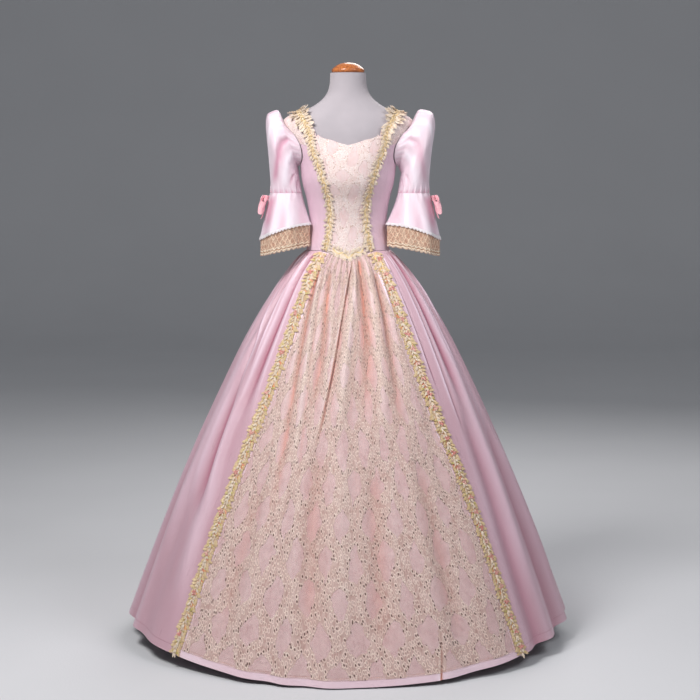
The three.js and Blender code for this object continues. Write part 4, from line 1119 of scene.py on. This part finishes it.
# The waist braid lies along the pointed waist, between the two front braids.
waist_us = front_us[np.abs(front_us - 0.5) < 0.34]
waist_place = lambda u, v: bodice_front(mix(waist_us[0], waist_us[-1], v), mix(0.012, 0.060, u + 0.5))
waist_length = strip_length(waist_place)
waist_strip = panel("waist_braid_net", waist_place, even(-0.5, 0.5, 9), even(0, 1, 120), [neck_braid_lace],
                    size=(0.016, waist_length), lift=0.0026, thickness=0.0008)
waist_blades = leaves("waist_braid_leaves", waist_place, waist_length, 0.014, 0.0070, 0.0175, 0.0030, cream_thread,
                      False, tilt=24)
hand_over(waist_strip, ["waist_braid"], "braid", cut=(0.016, round(waist_length, 2)), held="laid",
          rests_on=["bodice_front_lacework"], with_pieces=[waist_blades])


def skirt_braid_place(sign):
    def place(u, v):
        down = mix(0.003, 0.998, v)
        return skirt_skin(sign * (skirt_seam(down) + 2 * u * braid_half(down)), down)
    return place


for side, sign in (("left", 1), ("right", -1)):
    place = skirt_braid_place(sign)
    braid_length = strip_length(place)
    strip = panel(f"skirt_braid_{side}_net", place, even(-0.5, 0.5, 17), even(0, 1, 380), [skirt_braid_lace],
                  size=(skirt_braid_width, braid_length), lift=0.0016, thickness=0.0009)
    bud_spacing = 0.043 if side == "left" else 0.11
    parts = [
        leaves(f"skirt_braid_{side}_{part_name}", place, braid_length, skirt_braid_width, spacing, size, lift, thread,
               False, **how)
        for part_name, spacing, size, lift, thread, how in (
            ("leaves", 0.0100, 0.0170, 0.0020, gold_thread, {"tilt": 30, "across_at": 0.20}),
            ("stems", 0.0105, 0.0135, 0.0030, cream_thread, {"tilt": 62, "across_at": 0.03, "start": 0.3}),
            ("buds", bud_spacing, 0.0110, 0.0036, coral_thread,
             {"tilt": 0, "petals": 5, "sides": (1,), "across_at": 0.10, "curl": 0.0016}),
            ("shoots", 0.0310, 0.0105, 0.0030, green_thread, {"tilt": -30, "across_at": 0.12, "start": 0.4}),
        )
    ]
    hand_over(strip, [f"skirt_braid_{side}"], "braid", cut=(skirt_braid_width, round(braid_length, 2)), held="laid",
              rests_on=["skirt_front_satin"], with_pieces=parts)
print("skirt braid:", round(braid_length, 3), "m each side")

# %% [markdown]
# A sleeve is a tube of rings from the armhole to the elbow, full and squarish at its head. A deep soft fold runs
# down from the front of the armhole, small puckers stand round the gathered head and above the elbow seam, and the
# satin flounce below it is a bell that is longer at the outside.

# %% Sleeves
elbow_x, elbow_y, elbow_height = 0.1745, -0.012, 1.262
elbow_half_width, elbow_half_depth = 0.0445, 0.055
# along, x, y, z, lean, crown, under, side
sleeve_rows = (
    (0, 0.160, 0, 1.400, 71, 0.065, 0.065, 0.058), (0.10, 0.168, -0.001, 1.413, 70.4, 0.083, 0.082, 0.064),
    (0.17, 0.1775, -0.0015, 1.412, 65.6, 0.086, 0.091, 0.067), (0.24, 0.1885, -0.002, 1.408, 60, 0.081, 0.098, 0.069),
    (0.40, 0.198, -0.004, 1.3825, 48.7, 0.048, 0.089, 0.070), (0.55, 0.1935, -0.006, 1.352, 37, 0.040, 0.069, 0.067),
    (0.70, 0.188, -0.009, 1.322, 21, 0.036, 0.055, 0.061), (0.86, 0.180, -0.011, 1.2905, 9, 0.0395, 0.047, 0.057),
    (1, elbow_x, elbow_y, elbow_height, 0, elbow_half_width, elbow_half_width, elbow_half_depth),
)
# The wearer's left sleeve stands further out than the right one, fuller at its head and smoother down its front.
stance = {"left": 0.010, "right": 0.0}
head_room = {"left": 0.007, "right": 0.0}
crease = {"left": 0.45, "right": 0.85}
sleeve_radius = 0.064
# kind, depth at the top and bottom, half width at the top and bottom, then (along, turns) along the fold
sleeve_folds = (
    ("valley", 0.0055, 0.0035, 0.0060, 0.0190,
     ((0.07, 0.500), (0.25, 0.515), (0.45, 0.510), (0.65, 0.450), (0.88, 0.370))),
    ("crest", 0.0035, 0.0025, 0.0070, 0.0140, ((0.10, 0.585), (0.30, 0.590), (0.60, 0.560), (0.92, 0.500))),
    ("crest", 0.0030, 0.0015, 0.0060, 0.0120, ((0.08, 0.420), (0.30, 0.380), (0.62, 0.320), (0.88, 0.290))),
    ("valley", 0.0030, 0.0015, 0.0050, 0.0110, ((0.06, 0.930), (0.22, 0.990), (0.50, 1.060), (0.80, 1.110))),
    ("valley", 0.0030, 0.0020, 0.0040, 0.0080, ((0.62, 0.640), (0.76, 0.600), (0.90, 0.560))),
    ("valley", 0.0025, 0.0020, 0.0040, 0.0080, ((0.70, 0.700), (0.82, 0.660), (0.95, 0.640))),
    ("crest", 0.0025, 0.0010, 0.0050, 0.0100, ((0.06, 0.200), (0.30, 0.180), (0.70, 0.200))),
    ("valley", 0.0025, 0.0010, 0.0040, 0.0090, ((0.05, 0.310), (0.20, 0.285), (0.42, 0.270))),
    ("valley", 0.0025, 0.0010, 0.0040, 0.0090, ((0.05, 0.120), (0.20, 0.110), (0.42, 0.120))),
)


def tube_fold(kind, depth, end_depth, width, end_width, path, turns, along, radius):
    """One fold of a tube, whose place goes round it in turns."""
    start, stop = path[0][0], path[-1][0]
    t = np.clip((along - start) / (stop - start), 0, 1)
    strength = ease(along, start - 0.05, start + 0.08) * (1 - ease(along, stop - 0.12, stop + 0.08))
    off = np.mod(turns - curve(path, along) + 0.5, 1) - 0.5
    across = off * 2 * np.pi * radius / mix(width, end_width, t)
    bottom = np.exp(-(across**2)) * strength
    amount = mix(depth, end_depth, t)
    share = np.minimum(amount / 0.004, 1)
    if kind == "valley":
        return -amount * bottom, bottom * share, 0 * bottom
    return amount * bottom, 0 * bottom, bottom * share


def sleeve_marks(turns, along, side):
    """How far folds, puckers and gathers move a sleeve's cloth, and how much painted shade and highlight each point
    gets.
    """
    moved, low, high = np.zeros(turns.shape), np.zeros(turns.shape), np.zeros(turns.shape)
    for kind, depth, end_depth, width, end_width, path in sleeve_folds:
        shift, trough, crest = tube_fold(kind, depth, end_depth, width, end_width, path, turns, along, sleeve_radius)
        moved = moved + shift * crease[side]
        low, high = np.maximum(low, trough * crease[side]), np.maximum(high, crest)
    turn = 2 * np.pi * turns
    head = np.sin(27 * turn + 1.4 * np.sin(3 * turn)) * (1 - ease(along, 0.05, 0.26)) * ease(along, -0.01, 0.04)
    elbow = (np.sin(13 * turn + 2.1 * np.sin(2 * turn)) + 0.6 * np.sin(31 * turn)) * ease(along, 0.86, 0.98) * 0.7
    moved = moved + head * 0.0008 * (0.6 + 0.4 * np.sin(turn)) + elbow * 0.0015
    # painted shade in the troughs of the head's gathers and just above the elbow seam
    low = np.maximum(low, np.clip(-head, 0, 1) * 0.22)
    low = np.maximum(low, ease(along, 0.93, 1.0) * np.clip(0.35 - elbow * 0.5, 0, 0.9))
    return moved * (1 - ease(along, 0.985, 1.0) * 0.6), low, high


def sleeve_skin(turns, along, side):
    """A full turn runs from the back over the crown; along runs from the armhole to the elbow."""
    turn = 2 * np.pi * turns
    row = {name: curve(sleeve_rows, along, i + 1) for i, name in
           enumerate(("x", "y", "z", "lean", "crown", "under", "side"))}
    out = sleeve_marks(turns, along, side)[0]
    room = head_room[side] * np.exp(-(((along - 0.30) / 0.16) ** 2))
    reach = np.sin(turn) * (np.where(np.sin(turn) > 0, row["crown"] + room, row["under"]) + out)
    lean = np.radians(row["lean"])
    ring = xyz(row["x"] + stance[side] * ease(along, 0.02, 0.35) + reach * np.cos(lean),
               row["y"] + (row["side"] + out) * np.cos(turn), row["z"] + reach * np.sin(lean))
    inset = 0.0013
    seam = bodice_skin(side_seam + (armhole_turn - angle_of(inset, armhole_height)) * np.cos(turn),
                       armhole_height + (armhole_reach - inset) * np.sin(turn))
    return mix(seam, ring, ease(along, -0.02, 0.1)[..., None])


def bell_drop(turns):
    """How far the satin hangs: lower at the outer side, and at the back, where its lining shows."""
    turn = 2 * np.pi * turns
    return mix(0.089, 0.132, (1 + np.sin(turn)) / 2) + 0.0085 * np.cos(turn) + 0.020 * np.maximum(np.cos(turn), 0)


def bell_skin(turns, along, side):
    """The flounce: along is 0 at the elbow and 1 at the satin's edge, and the lace runs on below."""
    turn = 2 * np.pi * turns
    opened = np.clip(along, 0, 1)
    flare = opened**0.8
    wave = 0.003 * opened**1.5 * np.cos(7 * turn)
    wave = wave + 0.0010 * np.sin(13 * turn + 2.1 * np.sin(2 * turn)) * (1 - ease(along, 0.0, 0.3))
    wave = wave + 0.0012 * ease(along, 0.2, 1.0) * np.sin(3 * turn + 0.8)
    inner_corner = (0.020 + stance[side]) * np.exp(-(((turns - 0.68) / 0.07) ** 2)) * opened**1.3
    half_width, half_depth = mix(elbow_half_width, 0.0625, flare) + wave, mix(elbow_half_depth, 0.084, flare) + wave
    x = elbow_x + stance[side] + (0.011 + 0.2 * stance[side]) * opened + half_width * np.sin(turn) - inner_corner
    return xyz(x, elbow_y - 0.003 * along + half_depth * np.cos(turn),
               elbow_height - 0.0003 - bell_drop(turns) * along)


def cuff_drop(turns): return mix(0.146, 0.174, (1 + np.sin(2 * np.pi * turns)) / 2)


def bell_marks(turns, along):
    """Painted shade between the flounce's waves, one deep painted shadow at its front, and painted highlight on the
    crests.
    """
    turn = 2 * np.pi * turns
    wave = np.cos(7 * turn) * ease(along, 0.15, 0.8)
    shade = np.exp(-((turns - 0.36) / 0.05) ** 2) * ease(along, 0.0, 0.2) * (1 - ease(along, 0.6, 1.0)) * 0.8
    return np.maximum(np.clip(-wave, 0, 1) * 0.35, shade), np.clip(wave, 0, 1) * 0.4


def edging_place(u, v, side):
    """The border at the flounce's edge: small scallops hang from it."""
    return bell_skin(u, mix(0.945, 1.0 + 0.035 * np.abs(np.sin(22 * np.pi * u * 2)), v), side)


def cuff_place(u, v, side):
    """The lace runs on from inside the flounce, frilled and scalloped at its lower edge."""
    scallop = 0.0034 * np.abs(np.sin(15 * np.pi * u * 2))
    points = bell_skin(u, mix(0.30, (cuff_drop(u) + scallop) / bell_drop(u), v), side)
    frill = 0.0011 * np.sin(27 * 2 * np.pi * u) * ease(v, 0.70, 1.0)
    return points + xyz(np.sin(2 * np.pi * u), np.cos(2 * np.pi * u), 0 * u) * frill[..., None]


def tube_of(place, **how):
    """Makes a tube of cloth for either arm."""
    def make(name, mirror):
        side = "right" if mirror else "left"
        return panel(name, lambda u, v: place(u, v, side), tube=True, mirror=mirror, **how)
    return make


def sleeve_of(name, mirror):
    side = "right" if mirror else "left"
    return panel(name, lambda u, v: sleeve_skin(u, v, side), even(0, 1, 193), even(0, 1, 90) ** 1.15,
                 [satin_sleeve, satin_inside], size=(0.42, 0.27), tube=True, mirror=mirror,
                 folds=lambda u, v: sleeve_marks(u, v, side)[1:])


both("sleeve_satin", ["sleeve_SIDE"], "satin", sleeve_of, cut=(0.44, 0.30), area=0.074, held="gathered",
     rests_on=["bodice_side_front_satin_SIDE"])
both("flounce_satin", ["flounce_SIDE"], "satin",
     tube_of(bell_skin, us=even(0, 1, 169), vs=even(0, 1, 34), materials=[satin_sleeve, satin_inside],
             size=(0.50, 0.12), folds=bell_marks),
     cut=(0.52, 0.14), area=0.052, held="gathered", rests_on=["sleeve_satin_SIDE"])
both("flounce_border", ["flounce_edging_SIDE"], "edging",
     tube_of(edging_place, us=even(0, 1, 353), vs=even(0, 1, 6), materials=[white_thread], lift=0.0013,
             thickness=0.0009),
     cut=(0.50, 0.010), held="gathered", rests_on=["flounce_satin_SIDE"])
both("cuff_lacework", ["cuff_lace_SIDE"], "cuff_lace",
     tube_of(cuff_place, us=even(0, 1, 241), vs=even(0, 1, 40), materials=[gold_net], lift=-0.0024,
             thickness=0.0007, map_v="down"),
     cut=(0.55, 0.13), area=0.066, held="gathered", rests_on=["flounce_satin_SIDE"])
print("sleeves, flounces, borders and cuffs")

# %% [markdown]
# A bow sits on the outer side of each elbow seam: two loops, two tails with slanting ends and a wrapped knot, all of
# ribbon. The knot is modelled by hand from a short cylinder whose waist is drawn in.

# %% Elbow bows
bow_back = np.array((0.0, 1.0, 0.0))
knot_radius, knot_length = 0.0058, 0.016


def bow_frame(side):
    """The bow's middle on the outer side of a flounce, its way up and its way out."""
    middle, above, below = (bell_skin(np.array(0.27), np.array(along), side) for along in (0.12, 0.0, 0.3))
    up = (above - below) / np.linalg.norm(above - below)
    return middle, up, np.cross(bow_back, up)


def in_bow(a, b, c, side):
    """A point that lies a behind, b above and c outside a bow's middle."""
    middle, up, out = bow_frame(side)
    a, b, c = arrays(a, b, c)
    return middle + a[..., None] * bow_back + b[..., None] * up + c[..., None] * out


def bow_loop(way, side):
    def place(u, v):
        far = (1 - np.cos(2 * np.pi * u)) / 2
        puff = 0.0120 * np.sin(2 * np.pi * u) * (0.35 + 0.65 * far)
        crumple = 0.0009 * np.sin(v * 9 + way) * (1 - far) + 0.0006 * np.sin(v * 6.5 + far * 7)
        half = mix(0.0050, 0.0185, far**0.7)
        return in_bow(way * mix(0.0068, 0.037, far), (2 * v - 1) * half - 0.030 * far**1.2 + 0 * u,
                      0.0125 + puff + crumple, side)
    return place


def bow_tail(way, side):
    def place(u, v):
        return in_bow(way * (0.0045 + 0.014 * v) + u * mix(0.004, 0.010, v**0.6),
                      -0.0084 - 0.046 * v - 0.002 * way * u * v - 0.004 * v**6 * u * way,
                      0.0065 - 0.0015 * np.sin(3 * v) + 0.0012 * np.sin(u * 2.2 + v * 5) * v, side)
    return place


for side, mirror in (("left", False), ("right", True)):
    for where, sign in (("front", -1), ("back", 1)):
        loop = panel(f"bow_loop_{where}_{side}_ribbon", bow_loop(sign, side), even(0, 1, 49), even(0, 1, 15),
                     [satin_ribbon], tube=True, mirror=mirror, center=in_bow(sign * 0.024, -0.014, 0.0125, side))
        hand_over(loop, [f"bow_loop_{where}_{side}"], "ribbon", cut=(0.085, 0.034), area=0.0022, held="folded",
                  rests_on=[f"flounce_satin_{side}"])
        tail = panel(f"bow_tail_{where}_{side}_ribbon", bow_tail(sign, side), even(-1, 1, 11), even(0, 1, 31),
                     [satin_ribbon], thickness=0.0009, mirror=mirror, center=in_bow(0.0, 0.0, -1.0, side))
        hand_over(tail, [f"bow_tail_{where}_{side}"], "ribbon", cut=(0.020, 0.052), area=0.00075, held="hung",
                  rests_on=[f"flounce_satin_{side}"])
    bpy.ops.object.select_all(action="DESELECT")
    bpy.ops.mesh.primitive_cylinder_add(vertices=28, radius=knot_radius, depth=knot_length, location=(0, 0, 0))
    knot = bpy.context.object
    knot.name = knot.data.name = f"bow_knot_{side}_ribbon"
    knot.data.materials.append(satin_ribbon)
    bpy.ops.object.mode_set(mode="EDIT")
    bpy.ops.mesh.select_all(action="SELECT")
    bpy.ops.mesh.subdivide(number_cuts=5)
    bpy.ops.object.mode_set(mode="OBJECT")
    mark = 1 if side == "left" else -1
    for vertex in knot.data.vertices:
        x, y, b = vertex.co
        swell = 1 - 0.16 * math.cos(b / (knot_length / 2) * math.pi * 0.9)
        swell += 0.05 * math.sin(math.atan2(y, x) * 7 + b * 500)
        a, c = x * swell, y * swell
        point = in_bow(a, b * (1 - 0.12 * (x * x + y * y) / knot_radius**2), knot_radius + c, side)
        vertex.co = (mark * point[0], point[1], point[2])
    bpy.ops.object.mode_set(mode="EDIT")
    bpy.ops.mesh.select_all(action="SELECT")
    bpy.ops.uv.cube_project(cube_size=1.0)
    bpy.ops.mesh.normals_make_consistent(inside=False)
    bpy.ops.object.mode_set(mode="OBJECT")
    knot.data.uv_layers[0].name = "cloth"
    bpy.ops.object.shade_smooth_by_angle(angle=math.radians(50))
    hand_over(knot, [f"bow_knot_{side}"], "ribbon")
print("two bows")
